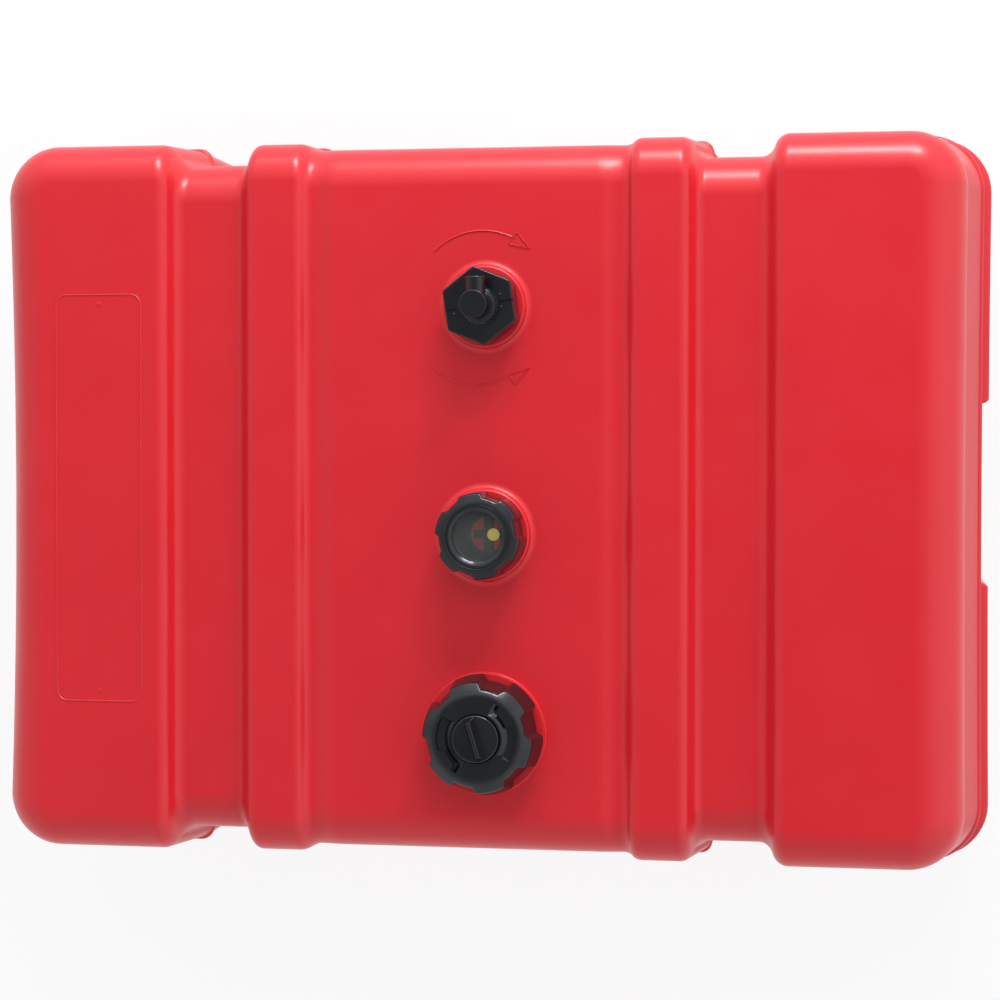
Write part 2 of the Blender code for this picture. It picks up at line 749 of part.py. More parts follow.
def make_vent_knob(material, seal_material, parent):
    """The knob's head lies in the cap's well, on a flat seal, and its stem goes down through the cap."""
    well = cap_plate_foot() + CAP_PLATE
    seat = well + GAP + VENT_SEAL_THICK + GAP
    head = seat + KNOB_HEAD
    edge = CAP_RIM_CHAMFER
    profile = [
        (KNOB_STEM, head - KNOB_HEAD - KNOB_STEM_LENGTH),
        (KNOB_STEM, seat),
        (KNOB_RADIUS, seat),
        (KNOB_RADIUS, head - edge),
        (KNOB_RADIUS - edge, head),
    ]
    knob = turned("vent_knob", profile, material, parent, SMALL_ROUND + TINY_ROUND)
    add(knob, make_fin(head, parent))
    seal_inner = KNOB_STEM + STEM_CLEARANCE
    make_flat_ring("vent_seal", seal_inner, seal_inner + VENT_SEAL_WIDTH, well + GAP, seat - GAP, seal_material,
                   parent, SMALL_ROUND)
    return knob


def make_fin(foot, parent):
    """The grip across the knob: a bar with sloping sides."""
    half = KNOB_RADIUS - CAP_RIM_CHAMFER
    levels = (
        (foot - EMBED, KNOB_FIN_FOOT / 2, half),
        (foot, KNOB_FIN_FOOT / 2, half),
        (foot + KNOB_FIN_HEIGHT, KNOB_FIN_TOP / 2, half - KNOB_FIN_HEIGHT / 2),
    )
    turn = Matrix.Rotation(KNOB_FIN_TURN, 3, "Z")
    rings = []
    for z, across, along in levels:
        corners = ((-along, -across), (along, -across), (along, across), (-along, across))
        rings.append([turn @ Vector((x, y, z)) for x, y in corners])
    bm = bmesh.new()
    loft(bm, rings)
    return mesh_object("knob_fin", bm, parent=parent)


def make_relief_valve(cage_material, disc_material, spring_material, parent):
    """A small cage under the insert, with a spring that holds its disc up."""
    top = insert_top() - INSERT_PLATE - GAP
    foot = top - RELIEF_CAGE_HEIGHT
    inner = RELIEF_CAGE_RADIUS - RELIEF_CAGE_WALL
    centre = make_axis("relief_axis", RELIEF_OFFSET, 0, 0, parent)
    floor = foot + RELIEF_CAGE_FLOOR
    profile = [
        (RELIEF_HOLE, foot),
        (RELIEF_CAGE_RADIUS, foot),
        (RELIEF_CAGE_RADIUS, top),
        (inner, top),
        (inner, floor),
        (RELIEF_HOLE, floor),
    ]
    turned("relief_cage", profile, cage_material, centre, SMALL_ROUND, closed=True)
    disc_top = top - GAP
    disc_foot = disc_top - RELIEF_DISC_THICK
    disc_radius = inner - GAP
    turned("relief_disc", [(disc_radius, disc_foot), (disc_radius, disc_top)], disc_material, centre, SMALL_ROUND)
    make_spring(floor + GAP, disc_foot - GAP, inner - GAP, spring_material, centre)


def make_spring(low, high, outer, material, parent):
    radius = outer - RELIEF_WIRE - GAP
    low_point = low + RELIEF_WIRE
    rise = high - low - 2 * RELIEF_WIRE
    count = RELIEF_COILS * RELIEF_COIL_POINTS
    curve = bpy.data.curves.new("relief_spring", "CURVE")
    curve.dimensions = "3D"
    curve.bevel_depth = RELIEF_WIRE
    curve.bevel_resolution = 1
    curve.use_fill_caps = True
    spline = curve.splines.new("POLY")
    spline.points.add(count)
    for k, point in enumerate(spline.points):
        turn = 2 * math.pi * k / RELIEF_COIL_POINTS
        point.co = (radius * math.cos(turn), radius * math.sin(turn), low_point + rise * k / count, 1)
    curve.materials.append(material)
    spring = bpy.data.objects.new("relief_spring", curve)
    spring.parent = parent
    bpy.context.scene.collection.objects.link(spring)
    return spring


# Gauge

def gauge_levels():
    """Heights above the boss: the flange's underside and top, the lens's underside and top."""
    flange = GAUGE_NECK + GAP + GAUGE_GASKET + GAP
    flange_top = flange + GAUGE_FLANGE
    lens = flange_top + GAP + LENS_SEAL + GAP
    return flange, flange_top, lens, lens + LENS_THICK


def pivot_height():
    flange, _, _, _ = gauge_levels()
    return flange - CUP_DEPTH - PIVOT_DROP


def make_gauge_ring(material, parent):
    angles = lobed_angles(RING_LOBES, RING_NOTCH_TURN)
    _, flange_top, _, lens_top = gauge_levels()
    thread_root = GAUGE_CREST + THREAD_CLEARANCE
    seat = GAUGE_ROOT + GAP
    lip = lens_top + GAP
    rings = [
        lobed_ring(RING_FOOT_CREST, RING_FOOT_ROOT, SKIRT_CLEARANCE, angles),
        lobed_ring(RING_RIM_CREST, RING_RIM_ROOT, RING_RIM_HEIGHT, angles),
        circle(RING_LAND, RING_HEIGHT, angles),
        circle(BEZEL_TOP, RING_HEIGHT, angles),
        circle(BEZEL_FOOT, lip + GAP, angles),
        circle(BEZEL_FOOT, lip, angles),
        circle(seat, lip, angles),
        circle(seat, flange_top, angles),
        circle(thread_root, GAUGE_NECK + GAP, angles),
        circle(thread_root, SKIRT_CLEARANCE, angles),
    ]
    bm = bmesh.new()
    loft(bm, rings, closed=True)
    ring = mesh_object("gauge_ring", bm, material, parent)
    add(ring, inner_thread("ring_thread", GAUGE_ROOT, GAUGE_CREST, GAUGE_NECK, GAUGE_PITCH, parent))
    return ring


def make_gauge_body(material, parent):
    """A cup that hangs in the neck; its floor is a window crossed by the two ears of a bridge."""
    flange, flange_top, _, _ = gauge_levels()
    outer = GAUGE_BORE - CUP_CLEARANCE
    floor = flange - CUP_DEPTH
    foot_outer = CUP_FLOOR_RADIUS
    profile = [
        (outer - CUP_WALL, flange_top),
        (outer - CUP_WALL, flange - CUP_DEPTH / 4),
        (foot_outer - CUP_WALL, floor),
        (CUP_WINDOW, floor),
        (CUP_WINDOW, floor - CUP_FLOOR),
        (foot_outer, floor - CUP_FLOOR),
        (outer, flange - CUP_DEPTH / 4),
        (outer, flange),
        (GAUGE_ROOT - GAP, flange),
        (GAUGE_ROOT - GAP, flange_top),
    ]
    body = turned("gauge_body", profile, material, parent, closed=True)
    pivot = pivot_height()
    reach = (CUP_WINDOW + foot_outer) / 2
    for side in (1, -1):
        ends = sorted((side * BRIDGE_GAP, side * reach))
        low = (-BRIDGE_WIDTH / 2, ends[0], floor - BRIDGE_DROP)
        high = (BRIDGE_WIDTH / 2, ends[1], floor - EMBED)
        add(body, block("bridge_ear", low, high, parent))
    hole = PIVOT_PIN + GAP
    end = reach + OVERRUN
    cut(body, rod("pivot_hole", hole, (0, -end, pivot), (0, end, pivot), parent, steps=TINY_ROUND))
    return body


def make_gauge_rings(gasket_material, lens_material, parent):
    flange, flange_top, lens, lens_top = gauge_levels()
    make_flat_ring("gauge_gasket", GAUGE_BORE + GAP, GAUGE_ROOT - GAP, GAUGE_NECK + GAP, flange - GAP,
                   gasket_material, parent)
    outer = GAUGE_ROOT - GAP
    make_flat_ring("lens_seal", outer - LENS_SEAL_WIDTH, outer, flange_top + GAP, lens - GAP,
                   gasket_material, parent)
    turned("gauge_lens", [(outer, lens), (outer, lens_top)], lens_material, parent)


def make_float(arm_material, float_material, bead_material, pin_material, parent):
    """The rocker on its pin, with the wire down to the float and the bead that shows under the lens."""
    pivot = make_axis("float_pivot", 0, 0, pivot_height(), parent)
    rod("pivot_pin", PIVOT_PIN, (0, -PIVOT_PIN_HALF, 0), (0, PIVOT_PIN_HALF, 0), pivot, pin_material, TINY_ROUND)
    arm = rod("float_arm", HUB_RADIUS, (0, -HUB_HALF, 0), (0, HUB_HALF, 0), pivot, arm_material, SMALL_ROUND)
    bar_low = (-BAR_HALF, -BRIDGE_WIDTH / 2, BAR_RISE)
    bar_high = (BAR_HALF, BRIDGE_WIDTH / 2, BAR_RISE + BAR_THICK)
    arm_length = BOSS_TOP + pivot_height() - ARM_END
    wire_end = (0, 0, -arm_length)
    post_top = (BEAD_X, 0, BEAD_RISE - BEAD_RADIUS - GAP)
    add(
        arm,
        block("arm_bar", bar_low, bar_high, pivot),
        rod("arm_wire", ARM_WIRE, (0, 0, -HUB_RADIUS / 2 - PIVOT_PIN), wire_end, pivot, steps=TINY_ROUND),
        rod("bead_post", BEAD_POST, (BEAD_X, 0, BAR_RISE + BAR_THICK / 2), post_top, pivot, steps=TINY_ROUND),
    )
    end = HUB_HALF + OVERRUN
    cut(arm, rod("hub_hole", PIVOT_PIN + GAP, (0, -end, 0), (0, end, 0), pivot, steps=TINY_ROUND))
    make_bead(bead_material, pivot)
    clip_foot = -arm_length + CLIP_SETBACK
    bore = ARM_WIRE + GAP
    make_flat_ring("float_clip", bore, CLIP_RADIUS, clip_foot, clip_foot + CLIP_THICK, pin_material, pivot,
                   SMALL_ROUND)
    low = clip_foot + CLIP_THICK + GAP
    high = low + FLOAT_LENGTH
    profile = [
        (bore, low),
        (FLOAT_RADIUS - FLOAT_ROUND, low),
        (FLOAT_RADIUS, low + FLOAT_ROUND),
        (FLOAT_RADIUS, high - FLOAT_ROUND),
        (FLOAT_RADIUS - FLOAT_ROUND, high),
        (bore, high),
    ]
    turned("float", profile, float_material, pivot, SMALL_ROUND, closed=True)


def make_bead(material, parent):
    bm = bmesh.new()
    bmesh.ops.create_uvsphere(bm, u_segments=SMALL_ROUND, v_segments=TINY_ROUND, radius=BEAD_RADIUS)
    bmesh.ops.translate(bm, vec=(BEAD_X, 0, BEAD_RISE), verts=bm.verts)
    return mesh_object("indicator_bead", bm, material, parent)


# Fuel outlet

def outlet_levels():
    """Heights above the boss of the pickup flange's underside and top."""
    flange = OUTLET_NECK + GAP + PICKUP_GASKET + GAP
    return flange, flange + PICKUP_FLANGE


def hex_ring(flats, corner, z):
    """A hexagon with its corners rounded off at a radius, every ten degrees."""
    ring = []
    sector = math.pi / 3
    for angle in even_angles(36):
        off_flat = (angle + sector / 2) % sector - sector / 2
        radius = min(corner, flats / 2 / math.cos(off_flat))
        turn = angle + NUT_CORNER_TURN - sector / 2
        ring.append(Vector((radius * math.cos(turn), radius * math.sin(turn), z)))
    return ring


def make_nut(material, parent):
    _, flange_top = outlet_levels()
    plate = flange_top + GAP
    top = plate + NUT_PLATE
    hole = ELBOW_FLANGE_RADIUS + THREAD_CLEARANCE
    root = OUTLET_CREST + THREAD_CLEARANCE
    shift = NUT_CORNER_TURN - math.pi / 6
    angles = [a + shift for a in even_angles(36)]
    rings = [
        hex_ring(NUT_FLATS, NUT_CORNER_RADIUS, SKIRT_CLEARANCE),
        hex_ring(NUT_FLATS, NUT_CORNER_RADIUS, top - NUT_CHAMFER),
        hex_ring(NUT_FLATS - NUT_CHAMFER, NUT_CORNER_RADIUS - NUT_CHAMFER, top - NUT_CHAMFER / 2),
        circle(NUT_TOP_LAND, top, angles),
        circle(hole, top, angles),
        circle(hole, plate, angles),
        circle(root, plate, angles),
        circle(root, SKIRT_CLEARANCE, angles),
    ]
    bm = bmesh.new()
    loft(bm, rings, closed=True)
    nut = mesh_object("outlet_nut", bm, material, parent)
    add(nut, inner_thread("nut_thread", OUTLET_ROOT, OUTLET_CREST, OUTLET_NECK, OUTLET_PITCH, parent))
    return nut


def make_elbow(material, seal_material, parent):
    """The elbow turns in the pickup's socket on a ring seal; its stub takes the fuel line."""
    _, seat = outlet_levels()
    foot = seat + GAP
    top = foot + ELBOW_RISE
    spigot = foot - ELBOW_SPIGOT_LENGTH
    seal = seat - SEAL_DROP
    groove = SEAL_GROOVE_HEIGHT / 2
    profile = [
        (ELBOW_SPIGOT, spigot),
        (ELBOW_SPIGOT, seal - groove),
        (SEAL_GROOVE, seal - groove),
        (SEAL_GROOVE, seal + groove),
        (ELBOW_SPIGOT, seal + groove),
        (ELBOW_SPIGOT, foot),
        (ELBOW_FLANGE_RADIUS, foot),
        (ELBOW_FLANGE_RADIUS, foot + ELBOW_FLANGE),
        (ELBOW_BODY, foot + ELBOW_FLANGE),
        (ELBOW_BODY, top - ELBOW_CHAMFER),
        (ELBOW_BODY - ELBOW_CHAMFER, top),
    ]
    elbow = turned("outlet_elbow", profile, material, parent, SMALL_ROUND)
    axis = foot + STUB_HEIGHT
    add(elbow, rod("elbow_stub", STUB_RADIUS, (0, 0, axis), (0, STUB_REACH, axis), parent))
    socket = STUB_REACH - SOCKET_DEPTH
    past = STUB_REACH + OVERRUN
    cut(
        elbow,
        rod("elbow_riser", ELBOW_BORE, (0, 0, spigot - OVERRUN), (0, 0, axis), parent, steps=TINY_ROUND),
        rod("elbow_run", ELBOW_BORE - EMBED / 2, (0, -ELBOW_BORE / 2, axis), (0, socket + OVERRUN, axis), parent,
            steps=TINY_ROUND),
        rod("elbow_socket", SOCKET_RADIUS, (0, socket, axis), (0, past, axis), parent),
    )
    half = groove - GAP
    make_flat_ring("elbow_seal", SEAL_GROOVE + GAP, ELBOW_SPIGOT + SOCKET_CLEARANCE / 4, seal - half, seal + half,
                   seal_material, parent, SMALL_ROUND)
    return elbow


def make_pickup(material, gasket_material, strainer_material, parent):
    flange, flange_top = outlet_levels()
    make_flat_ring("pickup_gasket", OUTLET_BORE + GAP, OUTLET_ROOT - GAP, OUTLET_NECK + GAP, flange - GAP,
                   gasket_material, parent)
    socket = ELBOW_SPIGOT + SOCKET_CLEARANCE
    wall = socket + PICKUP_SOCKET_WALL
    foot = flange_top - PICKUP_SOCKET_DEPTH
    end = TUBE_END - BOSS_TOP
    profile = [
        (socket, flange_top),
        (socket, foot + PICKUP_SOCKET_WALL / 2),
        (TUBE_BORE, foot),
        (TUBE_BORE, end),
        (TUBE_RADIUS, end),
        (TUBE_RADIUS, foot - PICKUP_SOCKET_WALL),
        (wall, foot),
        (wall, flange),
        (OUTLET_ROOT - GAP, flange),
        (OUTLET_ROOT - GAP, flange_top),
    ]
    turned("pickup_tube", profile, material, parent, SMALL_ROUND, closed=True)
    make_strainer(strainer_material, parent)


def make_strainer(material, parent):
    """A slotted cup round the foot of the pickup tube."""
    foot = STRAINER_FOOT - BOSS_TOP
    top = foot + STRAINER_LENGTH
    collar = TUBE_RADIUS + GAP
    inner = STRAINER_RADIUS - STRAINER_WALL
    floor = foot + STRAINER_WALL
    under_collar = top - STRAINER_COLLAR
    profile = [
        (STRAINER_RADIUS, foot),
        (STRAINER_RADIUS, top),
        (collar, top),
        (collar, under_collar),
        (inner, under_collar),
        (inner, floor),
        (TUBE_BORE / 2, floor),
        (TUBE_BORE / 2, foot),
    ]
    strainer = turned("pickup_strainer", profile, material, parent, SMALL_ROUND, closed=True)
    reach = STRAINER_RADIUS + OVERRUN
    half = STRAINER_WINDOW / 2
    low = floor + STRAINER_WALL
    high = under_collar - STRAINER_WALL
    cut(
        strainer,
        block("window_x", (-reach, -half, low), (reach, half, high), parent),
        block("window_y", (-half, -reach, low), (half, reach, high), parent),
    )
    return strainer


def main():
    clear_scene()
    red = make_material("tank red", (0.70, 0.035, 0.045), 0.42)
    black = make_material("cap black", (0.016, 0.016, 0.018), 0.38)
    rubber = make_material("seal rubber", (0.03, 0.03, 0.03), 0.8)
    grey = make_material("gauge grey", (0.07, 0.075, 0.072), 0.5)
    clear = make_material("lens clear", (0.85, 0.88, 0.88), 0.05, alpha=0.35)
    yellow = make_material("bead yellow", (0.75, 0.62, 0.08), 0.4)
    white = make_material("pipe white", (0.72, 0.72, 0.69), 0.5)
    foam = make_material("float foam", (0.10, 0.10, 0.10), 0.85)
    steel = make_material("steel", (0.55, 0.55, 0.55), 0.3)

    filler = make_axis("filler_axis", FITTINGS_X, FILLER_Y, BOSS_TOP)
    gauge = make_axis("gauge_axis", FITTINGS_X, GAUGE_Y, BOSS_TOP)
    outlet = make_axis("outlet_axis", FITTINGS_X, OUTLET_Y, BOSS_TOP)
    make_shell(red, filler, gauge, outlet)

    make_filler_cap(black, filler)
    make_cap_insert(black, filler)
    make_flat_ring("cap_gasket", FILLER_BORE + GAP, FILLER_ROOT - GAP, FILLER_NECK + GAP,
                   FILLER_NECK + GAP + CAP_GASKET, rubber, filler)
    make_vent_knob(black, rubber, filler)
    make_relief_valve(white, rubber, steel, filler)

    make_gauge_ring(black, gauge)
    make_gauge_body(grey, gauge)
    make_gauge_rings(rubber, clear, gauge)
    make_float(grey, foam, yellow, steel, gauge)

    make_nut(black, outlet)
    make_elbow(black, rubber, outlet)
    make_pickup(white, rubber, white, outlet)


main()
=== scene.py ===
"""How the fuel tank looks: its moulded body, its caps, gauge and outlet, their finishes,
the light and the camera. Metres, +Z up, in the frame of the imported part."""

import json
import math
from collections import namedtuple

import bmesh
import bpy
from mathutils import Matrix, Vector
from mathutils.geometry import delaunay_2d_cdt


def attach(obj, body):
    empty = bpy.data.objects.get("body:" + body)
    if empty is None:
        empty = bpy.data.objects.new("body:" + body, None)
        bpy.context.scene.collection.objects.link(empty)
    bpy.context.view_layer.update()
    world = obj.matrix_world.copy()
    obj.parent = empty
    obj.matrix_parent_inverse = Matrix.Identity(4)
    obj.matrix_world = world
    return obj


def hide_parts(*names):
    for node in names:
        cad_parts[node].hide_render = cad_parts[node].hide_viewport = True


GAP = 0.0003  # between pieces that touch on the real object
EMBED = 0.0006  # how far a ridge starts inside the wall that carries it
OVERRUN = 0.002  # how far a cutter runs past what it cuts

# Tank body, as in the solid model
LENGTH = 0.652
WIDTH = 0.467
BODY_HEIGHT = 0.205
WALL = 0.0045
CORNER_RADIUS = 0.035
SIDE_TOP_RADIUS = 0.026
END_TOP_RADIUS = 0.031
BOTTOM_RADIUS = 0.026
PARTING_HEIGHT = 0.120
RIDGE_PROUD = 0.0020
RIDGE_WIDTH = 0.0044
LOWER_END_STEP = 0.0065  # the lower half's ends stand out past the upper half's
LOWER_END_DROP = 0.004
LEFT_END_SINK = 0.0035  # how far the end walls are drawn in at their middle
RIGHT_END_SINK = 0.001
SIDE_DRAFT = math.radians(1.5)
UPPER_END_DRAFT = math.radians(8)
LOWER_END_DRAFT = math.radians(3)
UPPER_FLANK_DRAFT = math.radians(6)
LOWER_FLANK_DRAFT = math.radians(1)

# Grooves and ribs round the body
HOOPS_X = -0.0017
GROOVE_PLACE = 0.1685
GROOVE_FLOOR = 0.035
GROOVE_DEPTH = 0.0133
SHOULDER_RUN = 0.018
RIB_OUTER_RUN = 0.015
RIB_CREST = 0.024
RIB_INNER_RUN = 0.0127
RIB_INSET = 0.001
VALLEY_DEPTH = 0.0025  # of the valley in the top between a rib and the panel
VALLEY_EDGE_RUN = 0.0155  # of the panel's rounded edge down to the valley
PANEL_INSET = 0.005
PANEL_TOP = BODY_HEIGHT - PANEL_INSET
BASE_GROOVE_SHARE = 0.7

# Hand grips in the lower half's ends
GRIP_Y = 0.004
GRIP_HALF_WIDTH = 0.050
GRIP_SIDE_RUN = 0.010
GRIP_DEPTH = 0.026
GRIP_LEDGE_SLOPE_SHARE = 0.4

# The fittings' row, and each one's boss, neck and thread
FITTINGS_X = 0.012
BOSS_TOP = 0.205
Neck = namedtuple("Neck", "y boss fillet bore root crest height pitch")
FILLER = Neck(-0.148, 0.0385, 0.0008, 0.020, 0.023, 0.0245, 0.017, 0.006)
GAUGE = Neck(-0.022, 0.0290, 0.0045, 0.0172, 0.0200, 0.0212, 0.014, 0.005)
OUTLET = Neck(0.122, 0.0260, 0.0045, 0.0135, 0.0165, 0.0178, 0.011, 0.0045)
NECKS = (FILLER, GAUGE, OUTLET)
THREAD_RIDGE_SHARE = 0.42  # of the pitch, at the foot of the ridge
THREAD_CREST_SHARE = 0.16
THREAD_END_SHARE = 0.1  # of the ridge's height, at its two ends
THREAD_CLEARANCE = 0.0006
SKIRT_CLEARANCE = 0.0015  # between a cap's lower edge and its boss

# How finely round and curved forms are divided
ROUND = 128
MID_ROUND = 72
THREAD_STEPS = 48
THREAD_END_STEPS = 5
RIDGE_STEPS = 8
END_STEP_STEPS = 6
END_WALL_PARTS = 4
BOSS_STEPS = 8
LOBE_STEPS = 72
LOBED_STEPS = 6


def ease(share):
    return share * share * (3 - 2 * share)


def mix(a, b, share):
    return a + (b - a) * share


def spread(start, end, steps):
    return [mix(start, end, k / steps) for k in range(steps + 1)]


def quarter_turn(steps):
    return [math.pi / 2 * k / steps for k in range(steps + 1)]


def polar(centre, radius, turn, z):
    return Vector((centre[0] + radius * math.cos(turn), centre[1] + radius * math.sin(turn), z))


def centre_of(neck):
    return (FITTINGS_X, neck.y)


# Meshes

def circle(radius, z, centre, steps=ROUND):
    return [polar(centre, radius, 2 * math.pi * k / steps, z) for k in range(steps)]


def circle_along_y(radius, y, z, steps=MID_ROUND):
    """An upright circle, about an axis along y over the fittings' row."""
    turns = [2 * math.pi * k / steps for k in range(steps)]
    return [Vector((FITTINGS_X + radius * math.cos(t), y, z + radius * math.sin(t))) for t in turns]


def turned_rectangle(centre, along, across, turn, z):
    """A level rectangle with these half lengths, turned about its centre."""
    rotation = Matrix.Rotation(turn, 3, "Z")
    corners = ((-along, -across), (along, -across), (along, across), (-along, across))
    return [rotation @ Vector((x, y, 0)) + Vector((*centre, z)) for x, y in corners]


def put(bm, ring):
    return [bm.verts.new(p) for p in ring]


def bridge(bm, low, high):
    count = len(low)
    for k in range(count):
        after = (k + 1) % count
        bm.faces.new((low[k], low[after], high[after], high[k]))


def loft(bm, rings, closed=False):
    """Joins rings of points into a closed body: with end faces, or round again when closed."""
    made = [put(bm, ring) for ring in rings]
    for low, high in zip(made, made[1:]):
        bridge(bm, low, high)
    if closed:
        bridge(bm, made[-1], made[0])
    else:
        bm.faces.new(made[0])
        bm.faces.new(made[-1])


def rounded(profile, steps=4):
    """A profile of (radius, z) or (radius, z, corner radius) points with those corners rounded."""
    points = []
    count = len(profile)
    for k, point in enumerate(profile):
        here = Vector(point[:2])
        size = point[2] if len(point) > 2 else 0
        if not size:
            points.append(tuple(here))
            continue
        before = Vector(profile[k - 1][:2]) - here
        after = Vector(profile[(k + 1) % count][:2]) - here
        reach = min(size, before.length * 0.49, after.length * 0.49)
        start = here + before.normalized() * reach
        end = here + after.normalized() * reach
        for step in range(steps + 1):
            share = step / steps
            a = start.lerp(here, share)
            b = here.lerp(end, share)
            points.append(tuple(a.lerp(b, share)))
    return points


def lathe(bm, profile, centre, steps=ROUND, closed=False):
    """Turns a profile of (radius, z) points about the upright axis at centre."""
    loft(bm, [circle(radius, z, centre, steps) for radius, z in profile], closed)


def raised_dot(bm, centre, z, profile, steps):
    """A small dot on a flat face at height z, from (radius, rise) points."""
    lathe(bm, [(radius, z + rise) for radius, rise in profile], centre, steps)


def soften(bm, size, segments):
    """Rounds every edge of the mesh."""
    bmesh.ops.bevel(bm, geom=list(bm.edges), offset=size, segments=segments, affect="EDGES", profile=0.5)


def take_in(bm, other):
    """Adds another mesh to bm."""
    mesh = bpy.data.meshes.new("taken_in")
    other.to_mesh(mesh)
    other.free()
    bm.from_mesh(mesh)
    bpy.data.meshes.remove(mesh)


def new_object(name, bm):
    """Turns a mesh into an object of the scene, with its faces outwards."""
    bmesh.ops.recalc_face_normals(bm, faces=bm.faces)
    mesh = bpy.data.meshes.new(name)
    bm.to_mesh(mesh)
    bm.free()
    obj = bpy.data.objects.new(name, mesh)
    bpy.context.scene.collection.objects.link(obj)
    return obj


def cut_out(obj, cutters):
    """Takes the cutters out of an object and gives back its mesh; the objects go."""
    for cutter in cutters:
        modifier = obj.modifiers.new("Cut", "BOOLEAN")
        modifier.operation = "DIFFERENCE"
        modifier.solver = "EXACT"
        modifier.object = cutter
    bpy.context.view_layer.update()
    graph = bpy.context.evaluated_depsgraph_get()
    mesh = bpy.data.meshes.new_from_object(obj.evaluated_get(graph))
    obj.modifiers.clear()
    obj.data = mesh
    for cutter in cutters:
        bpy.data.objects.remove(cutter)
    bm = bmesh.new()
    bm.from_mesh(mesh)
    bpy.data.objects.remove(obj)
    return bm


def piece(name, bm, finishes, body, slot, nodes=(), angle=35):
    """Makes a piece of the part from a mesh, smooth but for edges sharper than the angle."""
    bmesh.ops.remove_doubles(bm, verts=bm.verts, dist=1e-7)
    obj = new_object(name, bm)
    for polygon in obj.data.polygons:
        polygon.use_smooth = True
    obj.data.set_sharp_from_angle(angle=math.radians(angle))
    modifier = obj.modifiers.new("Even shading", "WEIGHTED_NORMAL")
    modifier.keep_sharp = True
    obj.data.materials.append(finishes[slot])
    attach(obj, body)
    if nodes:
        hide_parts(*nodes)


# Tank body

def slope(run, drop, steps):
    """(along, down) points of a slope made of two equal arcs, level at both ends."""
    radius = (run * run + drop * drop) / (4 * drop)
    steepest = 2 * math.atan2(drop, run)
    turns = [steepest * k / steps for k in range(steps)]
    first = [(radius * math.sin(t), radius * (1 - math.cos(t))) for t in turns]
    return first + [(run - x, drop - y) for x, y in reversed(first)]


def hoop_stations(steps):
    """(x, inset, drift, dip) from the middle panel out to the end block.

    The inset draws in the walls and the top, the dip lowers the top alone, and the drift says
    which way the draft moves a flank.
    """
    groove_in = GROOVE_PLACE - GROOVE_FLOOR / 2
    groove_out = GROOVE_PLACE + GROOVE_FLOOR / 2
    rib_out = groove_in - RIB_OUTER_RUN
    valley = rib_out - RIB_CREST - RIB_INNER_RUN
    panel_edge = valley - VALLEY_EDGE_RUN
    wall_rise = PANEL_INSET - RIB_INSET
    rise = wall_rise + VALLEY_DEPTH
    stations = []
    for x, down in slope(VALLEY_EDGE_RUN, VALLEY_DEPTH, steps):
        stations.append((panel_edge + x, PANEL_INSET, 0, down))
    for x, up in slope(RIB_INNER_RUN, rise, steps)[1:]:
        left = 1 - up / rise
        stations.append((valley + x, RIB_INSET + wall_rise * left, 0, VALLEY_DEPTH * left))
    for x, down in slope(RIB_OUTER_RUN, GROOVE_DEPTH - RIB_INSET, steps):
        stations.append((rib_out + x, RIB_INSET + down, 1, 0))
    for x, up in slope(SHOULDER_RUN, GROOVE_DEPTH, steps):
        stations.append((groove_out + x, GROOVE_DEPTH - up, -1, 0))
    return stations


# A point of the body's plan: on an end wall, round a corner or on a side wall, at y, turn or x
PlanPoint = namedtuple("PlanPoint", "kind end side where inset drift dip", defaults=(0, 0, 0))


